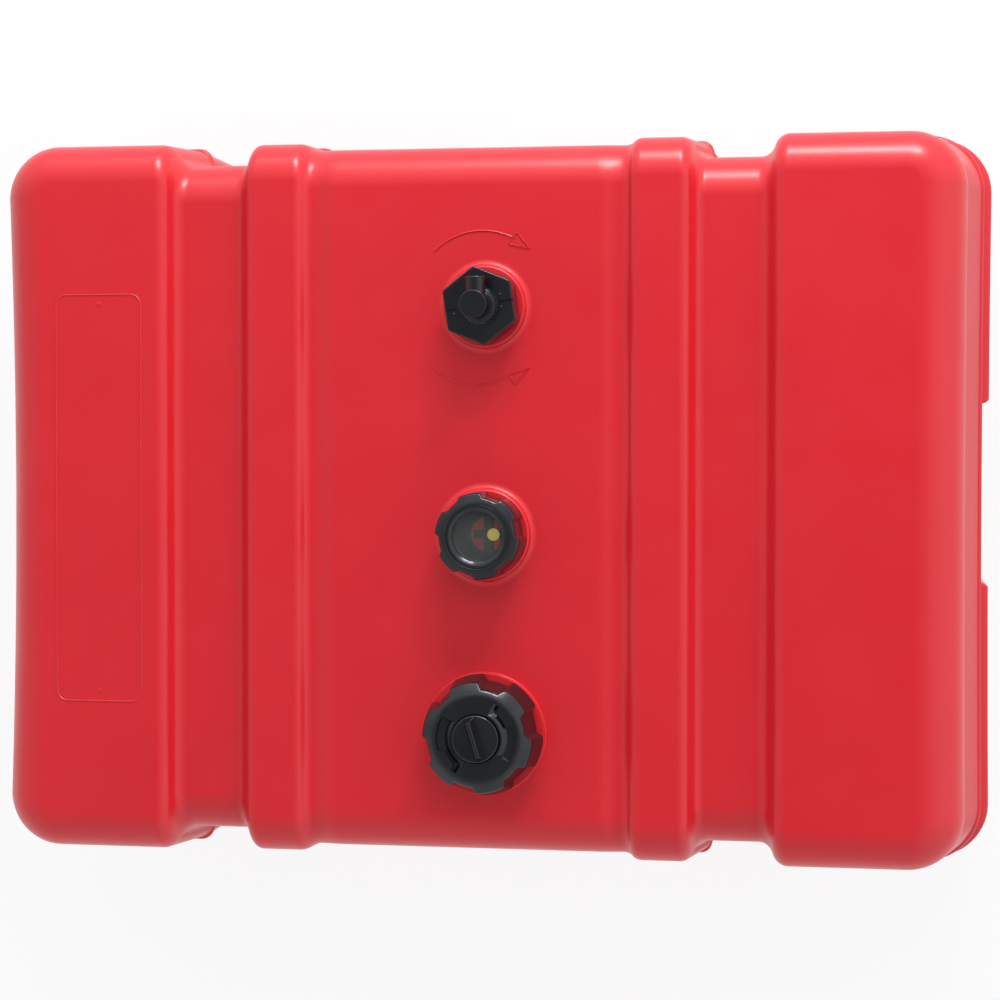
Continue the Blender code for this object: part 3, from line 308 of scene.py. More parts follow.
class Skin:
    """The outer skin (wall 0) or the hollow inside it: every point of a ring from one rule."""

    def __init__(self, wall, ramp_steps, corner_steps, grip_steps):
        self.wall = wall
        self.half_width = WIDTH / 2 - RIDGE_PROUD - wall
        self.lower_half_length = LENGTH / 2 - wall
        self.upper_half_length = self.lower_half_length - LOWER_END_STEP
        self.corner = CORNER_RADIUS - wall
        self.grip_half = GRIP_HALF_WIDTH + wall
        self.points = self.plan_points(ramp_steps, corner_steps, grip_steps)

    def plan_points(self, ramp_steps, corner_steps, grip_steps):
        reach = self.half_width - self.corner
        run = [self.grip_half + GRIP_SIDE_RUN * k / grip_steps for k in range(grip_steps + 1)]
        gripped = [GRIP_Y - y for y in reversed(run)] + [GRIP_Y] + [GRIP_Y + y for y in run]
        low = spread(-reach, gripped[0], END_WALL_PARTS)[:-1]
        high = spread(gripped[-1], reach, END_WALL_PARTS)[1:]
        ends = low + gripped + high
        sides = hoop_stations(ramp_steps)
        along = list(reversed(sides)) + [(-x, inset, -drift, dip) for x, inset, drift, dip in sides]
        turns = quarter_turn(corner_steps)[1:]
        points = []
        for sign in (1, -1):
            points += [PlanPoint("end", sign, 0, y) for y in ends[::sign]]
            points += [PlanPoint("corner", sign, sign, turn) for turn in turns]
            for x, inset, drift, dip in along:
                points.append(PlanPoint("side", 0, sign, HOOPS_X + sign * x, inset, sign * drift, dip))
            points += [PlanPoint("corner", -sign, sign, turn) for turn in reversed(turns)]
        return points

    def sink(self, end, y):
        reach = self.half_width - self.corner
        return (RIGHT_END_SINK if end > 0 else LEFT_END_SINK) * (1 - (y / reach) ** 2)

    def grip(self, y):
        share = (abs(y - GRIP_Y) - self.grip_half) / GRIP_SIDE_RUN
        return GRIP_DEPTH * (1 - ease(min(1, max(0, share))))

    def flank_shift(self, z):
        top = BODY_HEIGHT - SIDE_TOP_RADIUS
        most = math.tan(UPPER_FLANK_DRAFT) * (top - PARTING_HEIGHT)
        if z >= PARTING_HEIGHT:
            return math.tan(UPPER_FLANK_DRAFT) * max(0, top - z)
        return max(0, most - math.tan(LOWER_FLANK_DRAFT) * (PARTING_HEIGHT - z))

    def place(self, point, z, inset, low, proud=0, gripped=0):
        """low and gripped run from 0 to 1: the lower half's step and the hand grip."""
        rise = abs(z - PARTING_HEIGHT)
        width = self.half_width - math.tan(SIDE_DRAFT) * rise + proud - inset
        lower = self.lower_half_length - math.tan(LOWER_END_DRAFT) * rise
        upper = self.upper_half_length - math.tan(UPPER_END_DRAFT) * rise
        length = mix(upper, lower, low) + proud - inset
        if point.kind == "end":
            x = length - self.sink(point.end, point.where) - self.grip(point.where) * gripped
            return Vector((point.end * x, point.where, z))
        if point.kind == "side":
            x = point.where + point.drift * self.flank_shift(z)
            return Vector((x, point.side * (width - point.inset), z))
        radius = self.corner + proud - inset
        x = length - radius + radius * math.cos(point.where)
        y = width - radius + radius * math.sin(point.where)
        return Vector((point.end * x, point.side * y, z))

    def wall_ring(self, z, low, proud=0, gripped=0):
        return [self.place(p, z, 0, low, proud, gripped) for p in self.points]

    def local_radius(self, point):
        if point.kind == "end":
            return END_TOP_RADIUS - self.wall
        if point.kind == "side":
            return SIDE_TOP_RADIUS - self.wall
        return mix(END_TOP_RADIUS, SIDE_TOP_RADIUS, ease(point.where / (math.pi / 2))) - self.wall

    def top_ring(self, turn):
        ring = []
        for point in self.points:
            radius = self.local_radius(point)
            start = BODY_HEIGHT - self.wall - point.inset - point.dip - radius
            placed = self.place(point, start, radius * (1 - math.cos(turn)), 0)
            placed.z = start + radius * math.sin(turn)
            ring.append(placed)
        return ring

    def bottom_ring(self, turn):
        ring = []
        for point in self.points:
            radius = BOTTOM_RADIUS - self.wall
            lift = BASE_GROOVE_SHARE * max(0, point.inset - PANEL_INSET)
            start = self.wall + lift + radius
            placed = self.place(point, start, radius * (1 - math.sin(turn)), 1, gripped=1)
            placed.z = start - radius * math.cos(turn)
            ring.append(placed)
        return ring

    def inner_middle_rings(self):
        ledge = PARTING_HEIGHT + WALL
        return [
            self.wall_ring(PARTING_HEIGHT - WALL - RIDGE_WIDTH, 1, gripped=1),
            self.wall_ring(ledge, 0, gripped=1),
            self.wall_ring(ledge + GRIP_DEPTH * GRIP_LEDGE_SLOPE_SHARE, 0),
        ]

    def outer_middle_rings(self):
        """The lower half's soft end step, and the ridge on the parting line as a half round."""
        half = RIDGE_WIDTH / 2
        under = PARTING_HEIGHT - half
        rings = []
        for k in range(END_STEP_STEPS + 1):
            share = k / END_STEP_STEPS
            z = under - LOWER_END_DROP * (1 - share)
            rings.append(self.wall_ring(z, 1 - ease(share), gripped=1 - share))
        for k in range(1, RIDGE_STEPS):
            turn = math.pi * k / RIDGE_STEPS
            z = PARTING_HEIGHT - half * math.cos(turn)
            rings.append(self.wall_ring(z, 0, RIDGE_PROUD * math.sin(turn)))
        rings.append(self.wall_ring(PARTING_HEIGHT + half, 0))
        return rings

    def rings(self, fillet_steps):
        """From the base to the top face."""
        turns = quarter_turn(fillet_steps)
        rings = [self.bottom_ring(turn) for turn in turns]
        rings += self.inner_middle_rings() if self.wall else self.outer_middle_rings()
        rings += [self.top_ring(turn) for turn in turns]
        return rings

    def close(self, bm, ring, holes=None):
        """The base or the top face; the middle strip takes the necks' holes."""
        side_at = {}
        for vert, point in zip(ring, self.points):
            if point.kind == "side":
                side_at.setdefault(point.side, []).append(vert)
        left = list(reversed(side_at[1]))
        right = side_at[-1]
        middle = len(left) // 2 - 1
        for k in range(len(left) - 1):
            corners = (left[k], left[k + 1], right[k + 1], right[k])
            if holes and k == middle:
                panel(bm, corners, holes)
            else:
                bm.faces.new(corners)
        first = ring.index(side_at[1][0])
        last = ring.index(side_at[1][-1])
        back_first = ring.index(side_at[-1][0])
        back_last = ring.index(side_at[-1][-1])
        bm.faces.new(ring[back_last:] + ring[: first + 1])
        bm.faces.new(ring[last : back_first + 1])


NOT_IN_HOLE = 0.9995  # of a hole's radius: a triangle's middle lies farther out than this


def middle_of(verts):
    return sum((Vector(v.co[:2]) for v in verts), Vector((0, 0))) / len(verts)


def panel(bm, corners, holes):
    """A flat four-sided face with round holes, in triangles."""
    verts = list(corners)
    edges = [(0, 1), (1, 2), (2, 3), (3, 0)]
    for hole in holes:
        start = len(verts)
        verts += hole
        edges += [(start + k, start + (k + 1) % len(hole)) for k in range(len(hole))]
    flat = [Vector(v.co[:2]) for v in verts]
    middles = [middle_of(hole) for hole in holes]
    radii = [(Vector(hole[0].co[:2]) - m).length for hole, m in zip(holes, middles)]
    _, _, faces, origin, _, _ = delaunay_2d_cdt(flat, edges, [], 1, 1e-7)
    for face in faces:
        made = [verts[origin[k][0]] for k in face]
        centre = middle_of(made)
        if all((centre - m).length > r * NOT_IN_HOLE for m, r in zip(middles, radii)):
            bm.faces.new(made)


def neck_profile(neck):
    """From the panel up the boss's fillet, over the neck and down its bore."""
    rise = BOSS_TOP - PANEL_TOP
    edge = neck.fillet / 3
    hollow = min(neck.fillet, rise * 2 / 3)
    soft = min(edge, rise - hollow)
    profile = []
    for turn in quarter_turn(BOSS_STEPS):
        radius = neck.boss + neck.fillet * (1 - math.sin(turn))
        profile.append((radius, PANEL_TOP + hollow * (1 - math.cos(turn))))
    for turn in quarter_turn(BOSS_STEPS):
        radius = neck.boss - edge * (1 - math.cos(turn))
        profile.append((radius, BOSS_TOP - soft * (1 - math.sin(turn))))
    rim = BOSS_TOP + neck.height
    return profile + rounded([
        (neck.root, BOSS_TOP),
        (neck.root, rim, EMBED),
        (neck.bore, rim, EMBED),
        (neck.bore, PANEL_TOP - WALL),
    ], 3)


def thread_ridge(bm, neck):
    """The thread round a neck: one ridge that fades in over the boss and out below the rim."""
    foot_half = neck.pitch * THREAD_RIDGE_SHARE / 2
    crest_half = neck.pitch * THREAD_CREST_SHARE / 2
    start = SKIRT_CLEARANCE + foot_half
    turns = (neck.height - foot_half - EMBED - start) / neck.pitch
    steps = round(turns * THREAD_STEPS)
    foot = neck.root - EMBED
    rings = []
    for k in range(steps + 1):
        turn = 2 * math.pi * k / THREAD_STEPS
        z = BOSS_TOP + start + neck.pitch * k / THREAD_STEPS
        from_end = min(k, steps - k) / THREAD_END_STEPS
        share = min(1, from_end + THREAD_END_SHARE)
        crest = mix(foot, neck.crest, share)
        section = ((foot, -foot_half), (crest, -crest_half), (crest, crest_half), (foot, foot_half))
        rings.append([polar(centre_of(neck), radius, turn, z + rise) for radius, rise in section])
    loft(bm, rings)


def make_tank(finishes):
    bm = bmesh.new()
    outside = Skin(0, ramp_steps=8, corner_steps=14, grip_steps=6)
    inside = Skin(WALL, ramp_steps=3, corner_steps=5, grip_steps=3)
    outer = [put(bm, ring) for ring in outside.rings(12)]
    inner = [put(bm, ring) for ring in inside.rings(5)]
    upper_holes = []
    lower_holes = []
    surfaces = [outer, inner]
    for neck in NECKS:
        rings = [put(bm, circle(radius, z, centre_of(neck))) for radius, z in neck_profile(neck)]
        surfaces.append(rings)
        upper_holes.append(rings[0])
        lower_holes.append(rings[-1])
    for rings in surfaces:
        for low, high in zip(rings, rings[1:]):
            bridge(bm, low, high)
    outside.close(bm, outer[0])
    outside.close(bm, outer[-1], upper_holes)
    inside.close(bm, inner[0])
    inside.close(bm, inner[-1], lower_holes)
    for neck in NECKS:
        thread_ridge(bm, neck)
    piece("tank_shell_looks", bm, finishes, "tank", "tank_red", ["tank_shell"])


# Marks moulded into the top: a frame line with two dots in it, and the arrows beside the outlet
MARK_WIDTH = 0.0013
MARK_RISE = 0.0007
MARK_SECTION = (  # (share of the width, share of the rise)
    (-0.5, -0.3), (-0.42, 0.35), (-0.2, 0.85), (0, 1), (0.2, 0.85), (0.42, 0.35), (0.5, -0.3),
)
FRAME_LOW = (-0.2712, -0.1318)
FRAME_HIGH = (-0.2140, 0.1316)
FRAME_RADIUS = 0.0070
FRAME_WIDTH = 0.0012
FRAME_RISE = 0.0005
FRAME_DOTS = ((-0.2418, 0.1255), (-0.2418, -0.1250))
FRAME_DOT_PROFILE = ((0.0016, -EMBED), (0.0016, 0.0003), (0.0008, 0.0006))

# For each arrow, three points of its arc, and the way round its head
UPPER_ARROW = (
    ((-0.0207, 0.1577), (0.0103, 0.1702), (0.0289, 0.1659)),
    ((0.0319, 0.1691), (0.0404, 0.1585), (0.0270, 0.1615), (0.0319, 0.1691)),
)
LOWER_ARROW = (
    ((-0.0210, 0.0834), (0.0104, 0.0728), (0.0271, 0.0792)),
    ((0.0271, 0.0792), (0.0402, 0.0832), (0.0312, 0.0732), (0.0271, 0.0792)),
)


def raised_line(bm, points, z, closed=False, width=MARK_WIDTH, rise=MARK_RISE):
    """A low rounded line along (x, y) points on a flat face at height z."""
    rings = []
    count = len(points)
    for k, (x, y) in enumerate(points):
        before = Vector(points[k - 1] if closed or k else points[k])
        after = Vector(points[(k + 1) % count] if closed or k < count - 1 else points[k])
        along = (after - before).normalized()
        across = Vector((-along.y, along.x))
        rings.append([
            Vector((x + across.x * side * width, y + across.y * side * width, z + rise * up))
            for side, up in MARK_SECTION
        ])
    loft(bm, rings, closed)


def frame_points():
    """Round the frame, against the clock from its right side."""
    left = FRAME_LOW[0] + FRAME_RADIUS
    low = FRAME_LOW[1] + FRAME_RADIUS
    right = FRAME_HIGH[0] - FRAME_RADIUS
    high = FRAME_HIGH[1] - FRAME_RADIUS
    points = []
    for quarter, (x, y) in enumerate(((right, high), (left, high), (left, low), (right, low))):
        for k in range(9):
            turn = math.pi / 2 * (quarter + k / 8)
            points.append((x + FRAME_RADIUS * math.cos(turn), y + FRAME_RADIUS * math.sin(turn)))
    return points


def arc_points(start, middle, end, steps=28):
    """Points along the circle through three points."""
    (ax, ay), (bx, by), (cx, cy) = start, middle, end
    d = 2 * (ax * (by - cy) + bx * (cy - ay) + cx * (ay - by))
    a2 = ax * ax + ay * ay
    b2 = bx * bx + by * by
    c2 = cx * cx + cy * cy
    ux = (a2 * (by - cy) + b2 * (cy - ay) + c2 * (ay - by)) / d
    uy = (a2 * (cx - bx) + b2 * (ax - cx) + c2 * (bx - ax)) / d
    radius = math.hypot(ax - ux, ay - uy)
    first = math.atan2(ay - uy, ax - ux)
    through = (math.atan2(by - uy, bx - ux) - first) % (2 * math.pi)
    last = (math.atan2(cy - uy, cx - ux) - first) % (2 * math.pi)
    if through > last:
        last -= 2 * math.pi
    turns = [first + last * k / steps for k in range(steps + 1)]
    return [(ux + radius * math.cos(turn), uy + radius * math.sin(turn)) for turn in turns]


def make_marks(finishes):
    bm = bmesh.new()
    raised_line(bm, frame_points(), BODY_HEIGHT, True, FRAME_WIDTH, FRAME_RISE)
    for place in FRAME_DOTS:
        raised_dot(bm, place, BODY_HEIGHT, FRAME_DOT_PROFILE, 24)
    for arc, head in (UPPER_ARROW, LOWER_ARROW):
        raised_line(bm, arc_points(*arc), PANEL_TOP)
        raised_line(bm, head, PANEL_TOP)
    piece("moulded_marks", bm, finishes, "tank", "tank_red")


# Lobed caps: crest and root radii of the foot and of the rim, the rounding over the rim, and
# the radius where the slope of the top ends
Lobed = namedtuple("Lobed", "lobes turn foot_crest foot_root rim_crest rim_root rounding slope_end")
LOBE_CREST_SHARE = 0.48
LOBE_FLANK_SHARE = 0.09
LOBE_FLANK_EASE = 0.6
FOOT_BEVEL = 0.0005


def lobe_shares(lobes):
    """How far each point round a lobed body lies from a lobe's crest, 0, towards a notch's root, 1."""
    shares = []
    for k in range(lobes * LOBE_STEPS):
        off = abs((k / LOBE_STEPS) % 1 - 0.5)
        into = min(1, max(0, (off - LOBE_CREST_SHARE / 2) / LOBE_FLANK_SHARE))
        shares.append(mix(into, ease(into), LOBE_FLANK_EASE))
    return shares


def shoulder(top, start, steepness, soft):
    """The height of a lobed body's top at a radius: flat, then a cone with a soft beginning."""
    def height(radius):
        beyond = radius - start
        return top - steepness * (beyond + math.sqrt(beyond * beyond + soft * soft)) / 2
    return height


def lobed_body(bm, shape, centre, foot, top, face):
    """A lobed body from the height foot up to the height that top(radius) gives. The points of
    face lead on from the end of the slope, over the top and down into the cavity."""
    shares = lobe_shares(shape.lobes)
    turns = [shape.turn + 2 * math.pi * k / len(shares) for k in range(len(shares))]

    def foot_point(into, share):
        radius = mix(shape.foot_crest, shape.foot_root, into)
        return radius - FOOT_BEVEL * (1 - share), foot + FOOT_BEVEL * share

    def edge_point(into, share):
        rim = mix(shape.rim_crest, shape.rim_root, into)
        inner = rim - shape.rounding
        below = Vector((rim, top(rim) - shape.rounding))
        corner = Vector((rim, top(rim)))
        beyond = Vector((inner, top(inner)))
        return below.lerp(corner, share).lerp(corner.lerp(beyond, share), share)

    def slope_point(into, share):
        inner = mix(shape.rim_crest, shape.rim_root, into) - shape.rounding
        radius = mix(inner, shape.slope_end, share)
        return radius, top(radius)

    def ring(rule, share):
        points = [rule(into, share) for into in shares]
        return [polar(centre, radius, turn, z) for (radius, z), turn in zip(points, turns)]

    rings = [ring(foot_point, share) for share in (0, 1)]
    rings += [ring(edge_point, share) for share in spread(0, 1, LOBED_STEPS)]
    rings += [ring(slope_point, share) for share in spread(0, 1, LOBED_STEPS)[1:]]
    rings += [[polar(centre, radius, turn, z) for turn in turns] for radius, z in face]
    loft(bm, rings, closed=True)


# Filler cap; CAP_PLATE, CAP_WELL and CAP_DISC are heights over the ground
CAP = Lobed(6, math.radians(14.4), 0.0385, 0.0344, 0.0352, 0.0312, 0.0014, 0.0260)
CAP_GASKET = 0.002
INSERT_PLATE = 0.002
INSERT_WALL = 0.0015
CAP_PLATE = BOSS_TOP + FILLER.height + GAP + CAP_GASKET + GAP + INSERT_PLATE + GAP
CAP_WELL = CAP_PLATE + 0.0026
CAP_DISC = CAP_PLATE + 0.0060
CAP_DISC_EDGE = 0.0250
CAP_SLOPE_START = 0.0278
CAP_SLOPE = 0.74
CAP_SLOPE_SOFT = 0.0011

# Vent knob: where its bar's levels lie over the head, and their half widths and half lengths
KNOB_RADIUS = 0.0150
KNOB_WELL_RADIUS = 0.0154
KNOB_STEM = 0.0028
KNOB_STEM_LENGTH = 0.012
STEM_HOLE = 0.0033
VENT_SEAL = 0.0012
KNOB_SEAT = CAP_WELL + GAP + VENT_SEAL + GAP
KNOB_HEAD = KNOB_SEAT + 0.0042
KNOB_DISH_EDGE = 0.0118
KNOB_DISH_MIDDLE = 0.0040
KNOB_BAR_TURN = math.radians(107)
KNOB_BAR_LEVELS = ((-0.0012, 0.0042, 0.0142), (0, 0.0036, 0.0138), (0.0067, 0.0010, 0.0112))
KNOB_BAR_ROUNDING = 0.0006

# Finger pockets beside the knob, in metres and degrees: a broad end, a channel, and the channel's
# end bent out as a leg, with the inner wall back along all of them. Heights are from the disc.
Pocket = namedtuple("Pocket", "broad channel low middle leg_low leg_high inner inner_high inner_low")
POCKET_MOUTH = Pocket(0.0254, 0.0210, -27, 18, 51.0, 62.0, 0.0167, 63.5, -38)
POCKET_FLOOR = Pocket(0.0249, 0.0207, -26, 17, 50.0, 54.6, 0.0199, 55.0, -31)
POCKET_LEVELS = ((-0.0024, POCKET_FLOOR), (0.0001, POCKET_MOUTH), (0.0030, POCKET_MOUTH))
POCKETS = 2


def pocket_outline(pocket):
    """(radius, degrees) round a finger pocket."""
    outline = [(pocket.broad, turn) for turn in spread(pocket.low, pocket.middle, 8)]
    outline += [(pocket.channel, turn) for turn in spread(pocket.middle + 4, pocket.leg_low - 2, 6)]
    outline += [(pocket.broad, pocket.leg_low + 1), (pocket.broad, pocket.leg_high)]
    outline += [(pocket.inner, turn) for turn in spread(pocket.inner_high, pocket.inner_low, 18)]
    outline.append((pocket.broad, pocket.low - 6))
    return outline


def pocket_cutter(index, centre):
    half_turn = math.pi * index
    rings = []
    for rise, pocket in POCKET_LEVELS:
        rings.append([
            polar(centre, radius, math.radians(turn) + half_turn, CAP_DISC + rise)
            for radius, turn in pocket_outline(pocket)
        ])
    bm = bmesh.new()
    loft(bm, rings)
    return new_object(f"pocket_cutter_{index}", bm)


def make_filler_cap(finishes):
    centre = centre_of(FILLER)
    foot = BOSS_TOP + SKIRT_CLEARANCE
    cavity = FILLER.crest + THREAD_CLEARANCE + INSERT_WALL + GAP
    face = rounded([
        (CAP_DISC_EDGE, CAP_DISC),
        (KNOB_WELL_RADIUS, CAP_DISC, 0.0004),
        (KNOB_WELL_RADIUS, CAP_WELL, 0.0004),
        (STEM_HOLE, CAP_WELL),
        (STEM_HOLE, CAP_PLATE),
        (cavity, CAP_PLATE),
        (cavity, foot),
    ], 5)
    top = shoulder(CAP_DISC, CAP_SLOPE_START, CAP_SLOPE, CAP_SLOPE_SOFT)
    bm = bmesh.new()
    lobed_body(bm, CAP, centre, foot, top, face)
    cap = new_object("cap_shape", bm)
    bm = cut_out(cap, [pocket_cutter(k, centre) for k in range(POCKETS)])
    piece("filler_cap_looks", bm, finishes, "cap", "cap_black", ["filler_cap"], 30)


def make_vent_knob(finishes):
    centre = centre_of(FILLER)
    bm = bmesh.new()
    lathe(bm, rounded([
        (KNOB_STEM, KNOB_SEAT - KNOB_STEM_LENGTH),
        (KNOB_STEM, KNOB_SEAT),
        (KNOB_RADIUS, KNOB_SEAT, 0.0004),
        (KNOB_RADIUS, KNOB_HEAD, 0.0016),
        (KNOB_DISH_EDGE, KNOB_HEAD - 0.0002, 0.001),
        (KNOB_DISH_MIDDLE, KNOB_HEAD - 0.0006),
    ]), centre)
    bar = bmesh.new()
    loft(bar, [
        turned_rectangle(centre, along, across, KNOB_BAR_TURN, KNOB_HEAD + rise)
        for rise, across, along in KNOB_BAR_LEVELS
    ])
    soften(bar, KNOB_BAR_ROUNDING, 3)
    take_in(bm, bar)
    piece("vent_knob_looks", bm, finishes, "vent", "cap_black", ["vent_knob"], 40)


# Gauge, from the neck's rim upwards, and the cup that hangs in the neck. The flange's and the
# lens's foot and top, RING_TOP, CUP_BEND and CUP_FLOOR are heights over the ground.
GAUGE_GASKET = 0.0015
LENS_SEAL = 0.0010
FLANGE_FOOT = BOSS_TOP + GAUGE.height + GAP + GAUGE_GASKET + GAP
FLANGE_TOP = FLANGE_FOOT + 0.0018
LENS_FOOT = FLANGE_TOP + GAP + LENS_SEAL + GAP
LENS_TOP = LENS_FOOT + 0.0026
LENS_RADIUS = GAUGE.root - GAP
RING = Lobed(6, math.radians(11.3), 0.0279, 0.0252, 0.0271, 0.0245, 0.0016, 0.0206)
RING_TOP = BOSS_TOP + 0.0258
RING_SLOPE_START = 0.0212
RING_SLOPE = 0.44
RING_SLOPE_SOFT = 0.0012
BEZEL_FOOT = 0.0157
BEZEL = (  # radius, how far below the ring's top, and rounding
    (0.0200, 0.0001, 0.0004),
    (0.0180, 0.0004, 0.0006),
    (BEZEL_FOOT, 0.0019, 0.0003),
)
CUP_RADIUS = GAUGE.bore - 0.0004
CUP_WALL = 0.0012
CUP_BEND = FLANGE_FOOT - 0.00725
CUP_FLOOR = FLANGE_FOOT - 0.0290
CUP_FLOOR_THICK = 0.0020
CUP_FLOOR_RADIUS = 0.0142
CUP_WINDOW = 0.0112
CUP_ROUND = 96
EAR_IN = 0.0034  # from the middle of the window to an ear's two faces
EAR_OUT = 0.0127
EAR_HALF_WIDTH = 0.00275
EAR_DROP = 0.0085
PIVOT_HEIGHT = CUP_FLOOR - 0.0050
PIVOT_HOLE = 0.0015
PIVOT_HOLE_STEPS = 24
BEAD_RADIUS = 0.0039
BEAD_X = FITTINGS_X + 0.0043
BEAD_HEIGHT = PIVOT_HEIGHT + 0.0085


def make_gauge_ring(finishes):
    thread = GAUGE.crest + THREAD_CLEARANCE
    seat = GAUGE.root + GAP
    foot = BOSS_TOP + SKIRT_CLEARANCE
    face = [(radius, RING_TOP - drop, rounding) for radius, drop, rounding in BEZEL]
    face += [
        (BEZEL_FOOT, LENS_TOP + GAP),
        (seat, LENS_TOP + GAP),
        (seat, FLANGE_TOP),
        (thread, BOSS_TOP + GAUGE.height + GAP),
        (thread, foot),
    ]
    top = shoulder(RING_TOP, RING_SLOPE_START, RING_SLOPE, RING_SLOPE_SOFT)
    bm = bmesh.new()
    lobed_body(bm, RING, centre_of(GAUGE), foot, top, rounded(face))
    piece("gauge_ring_looks", bm, finishes, "ring", "cap_black", ["gauge_ring"], 32)


def make_lens(finishes):
    bm = bmesh.new()
    lathe(bm, rounded([(LENS_RADIUS, LENS_FOOT, 0.0002), (LENS_RADIUS, LENS_TOP, 0.0003)]), centre_of(GAUGE))
    piece("gauge_lens_looks", bm, finishes, "lens", "lens_clear", ["gauge_lens"])


def cup_ear(side):
    """One ear of the bridge under the cup's window, with the pivot pin's hole."""
    low, high = sorted((side * EAR_IN, side * EAR_OUT))
    corners = ((-EAR_HALF_WIDTH, low), (EAR_HALF_WIDTH, low), (EAR_HALF_WIDTH, high), (-EAR_HALF_WIDTH, high))
    ear = bmesh.new()
    loft(ear, [
        [Vector((FITTINGS_X + x, GAUGE.y + y, z)) for x, y in corners]
        for z in (CUP_FLOOR - EAR_DROP, CUP_FLOOR - EMBED)
    ])
    soften(ear, 0.0003, 2)
    shape = new_object("ear", ear)
    hole = bmesh.new()
    loft(hole, [
        circle_along_y(PIVOT_HOLE, GAUGE.y + low - OVERRUN, PIVOT_HEIGHT, PIVOT_HOLE_STEPS),
        circle_along_y(PIVOT_HOLE, GAUGE.y + high + OVERRUN, PIVOT_HEIGHT, PIVOT_HOLE_STEPS),
    ])
    return cut_out(shape, [new_object("pivot_cutter", hole)])


def make_cup(finishes):
    bm = bmesh.new()
    lathe(bm, rounded([
        (CUP_RADIUS - CUP_WALL, FLANGE_TOP, 0.0004),
        (CUP_RADIUS - CUP_WALL, CUP_BEND, 0.002),
        (CUP_FLOOR_RADIUS - CUP_WALL, CUP_FLOOR, 0.0012),
        (CUP_WINDOW, CUP_FLOOR, 0.0004),
        (CUP_WINDOW, CUP_FLOOR - CUP_FLOOR_THICK, 0.0004),
        (CUP_FLOOR_RADIUS, CUP_FLOOR - CUP_FLOOR_THICK, 0.0008),
        (CUP_RADIUS, CUP_BEND, 0.002),
        (CUP_RADIUS, FLANGE_FOOT),
        (GAUGE.root - GAP, FLANGE_FOOT),
        (GAUGE.root - GAP, FLANGE_TOP, 0.0003),
    ]), centre_of(GAUGE), CUP_ROUND, closed=True)
    for side in (1, -1):
        take_in(bm, cup_ear(side))
    piece("gauge_body_looks", bm, finishes, "tank", "gauge_grey", ["gauge_body"])


def make_bead(finishes):
    bm = bmesh.new()
    bmesh.ops.create_uvsphere(bm, u_segments=40, v_segments=24, radius=BEAD_RADIUS)
    bmesh.ops.translate(bm, vec=(BEAD_X, GAUGE.y, BEAD_HEIGHT), verts=bm.verts)
    piece("indicator_bead_looks", bm, finishes, "float_set", "bead_yellow", ["indicator_bead"], 60)


# Fuel outlet's nut, over the flange of the pickup tube
PICKUP_GASKET = 0.0015
PICKUP_FLANGE = 0.0018
NUT_PLATE = BOSS_TOP + OUTLET.height + GAP + PICKUP_GASKET + GAP + PICKUP_FLANGE + GAP
NUT_TOP = NUT_PLATE + 0.0030
NUT_FLATS = 0.0436
NUT_CORNER = 0.0250
NUT_CORNER_SOFT = 0.0009
NUT_CORNER_TURN = 38.5  # degrees
NUT_FOOT_BEVEL = 0.0003
NUT_FOOT_BEVEL_RISE = 0.0004
NUT_ROUNDING = 0.0012
NUT_ROUNDING_STEPS = 5
NUT_STEPS = 288
NUT_SLOT_TURN = math.radians(9.5)
NUT_SLOT_HALF_WIDTH = 0.0005
NUT_SLOT_HALF_LENGTH = 0.030
NUT_SLOT_DEPTH = 0.0023
NUT_DOTS = ((0.0135, 0.0068), (0.0142, -0.0010), (-0.0155, -0.0052))
NUT_DOT_PROFILE = ((0.0006, -EMBED), (0.0006, 0.0001), (0.0003, 0.0003))

# Elbow
ELBOW_FOOT = NUT_PLATE
ELBOW_TOP = ELBOW_FOOT + 0.0240
ELBOW_FLANGE_RADIUS = 0.0112
ELBOW_FLANGE_TOP = ELBOW_FOOT + 0.0052
ELBOW_BODY_RADII = (0.0091, 0.0088, 0.0072)  # at its foot, at its top and inside the rounding
ELBOW_BODY_FOOT = ELBOW_FOOT + 0.0056
ELBOW_SPIGOT = 0.0055
ELBOW_SPIGOT_LENGTH = 0.0130
SEAL_MIDDLE = ELBOW_FOOT - GAP - 0.0085
SEAL_GROOVE = 0.0043
SEAL_GROOVE_HALF = 0.0012
STUB_RADIUS = 0.0062
STUB_HEIGHT = ELBOW_FOOT + 0.0140
STUB_END = OUTLET.y + 0.0175
STUB_ROUNDING = 0.0008
STUB_ROUNDING_STEPS = 4
SOCKET_RADIUS = 0.0042
SOCKET_DEPTH = 0.0105


def hex_ring(inset, z):
    """Round the nut, drawn in by inset from its flats and corners."""
    sector = math.pi / 3
    centre = centre_of(OUTLET)
    ring = []
    for k in range(NUT_STEPS):
        angle = 2 * math.pi * k / NUT_STEPS
        off = (angle + sector / 2) % sector - sector / 2
        flat = (NUT_FLATS - 2 * inset) / 2 / math.cos(off)
        corner = NUT_CORNER - inset
        blend = max(0, NUT_CORNER_SOFT - abs(flat - corner)) / NUT_CORNER_SOFT
        radius = min(flat, corner) - NUT_CORNER_SOFT * blend * blend / 4
        ring.append(polar(centre, radius, angle + math.radians(NUT_CORNER_TURN) - sector / 2, z))
    return ring


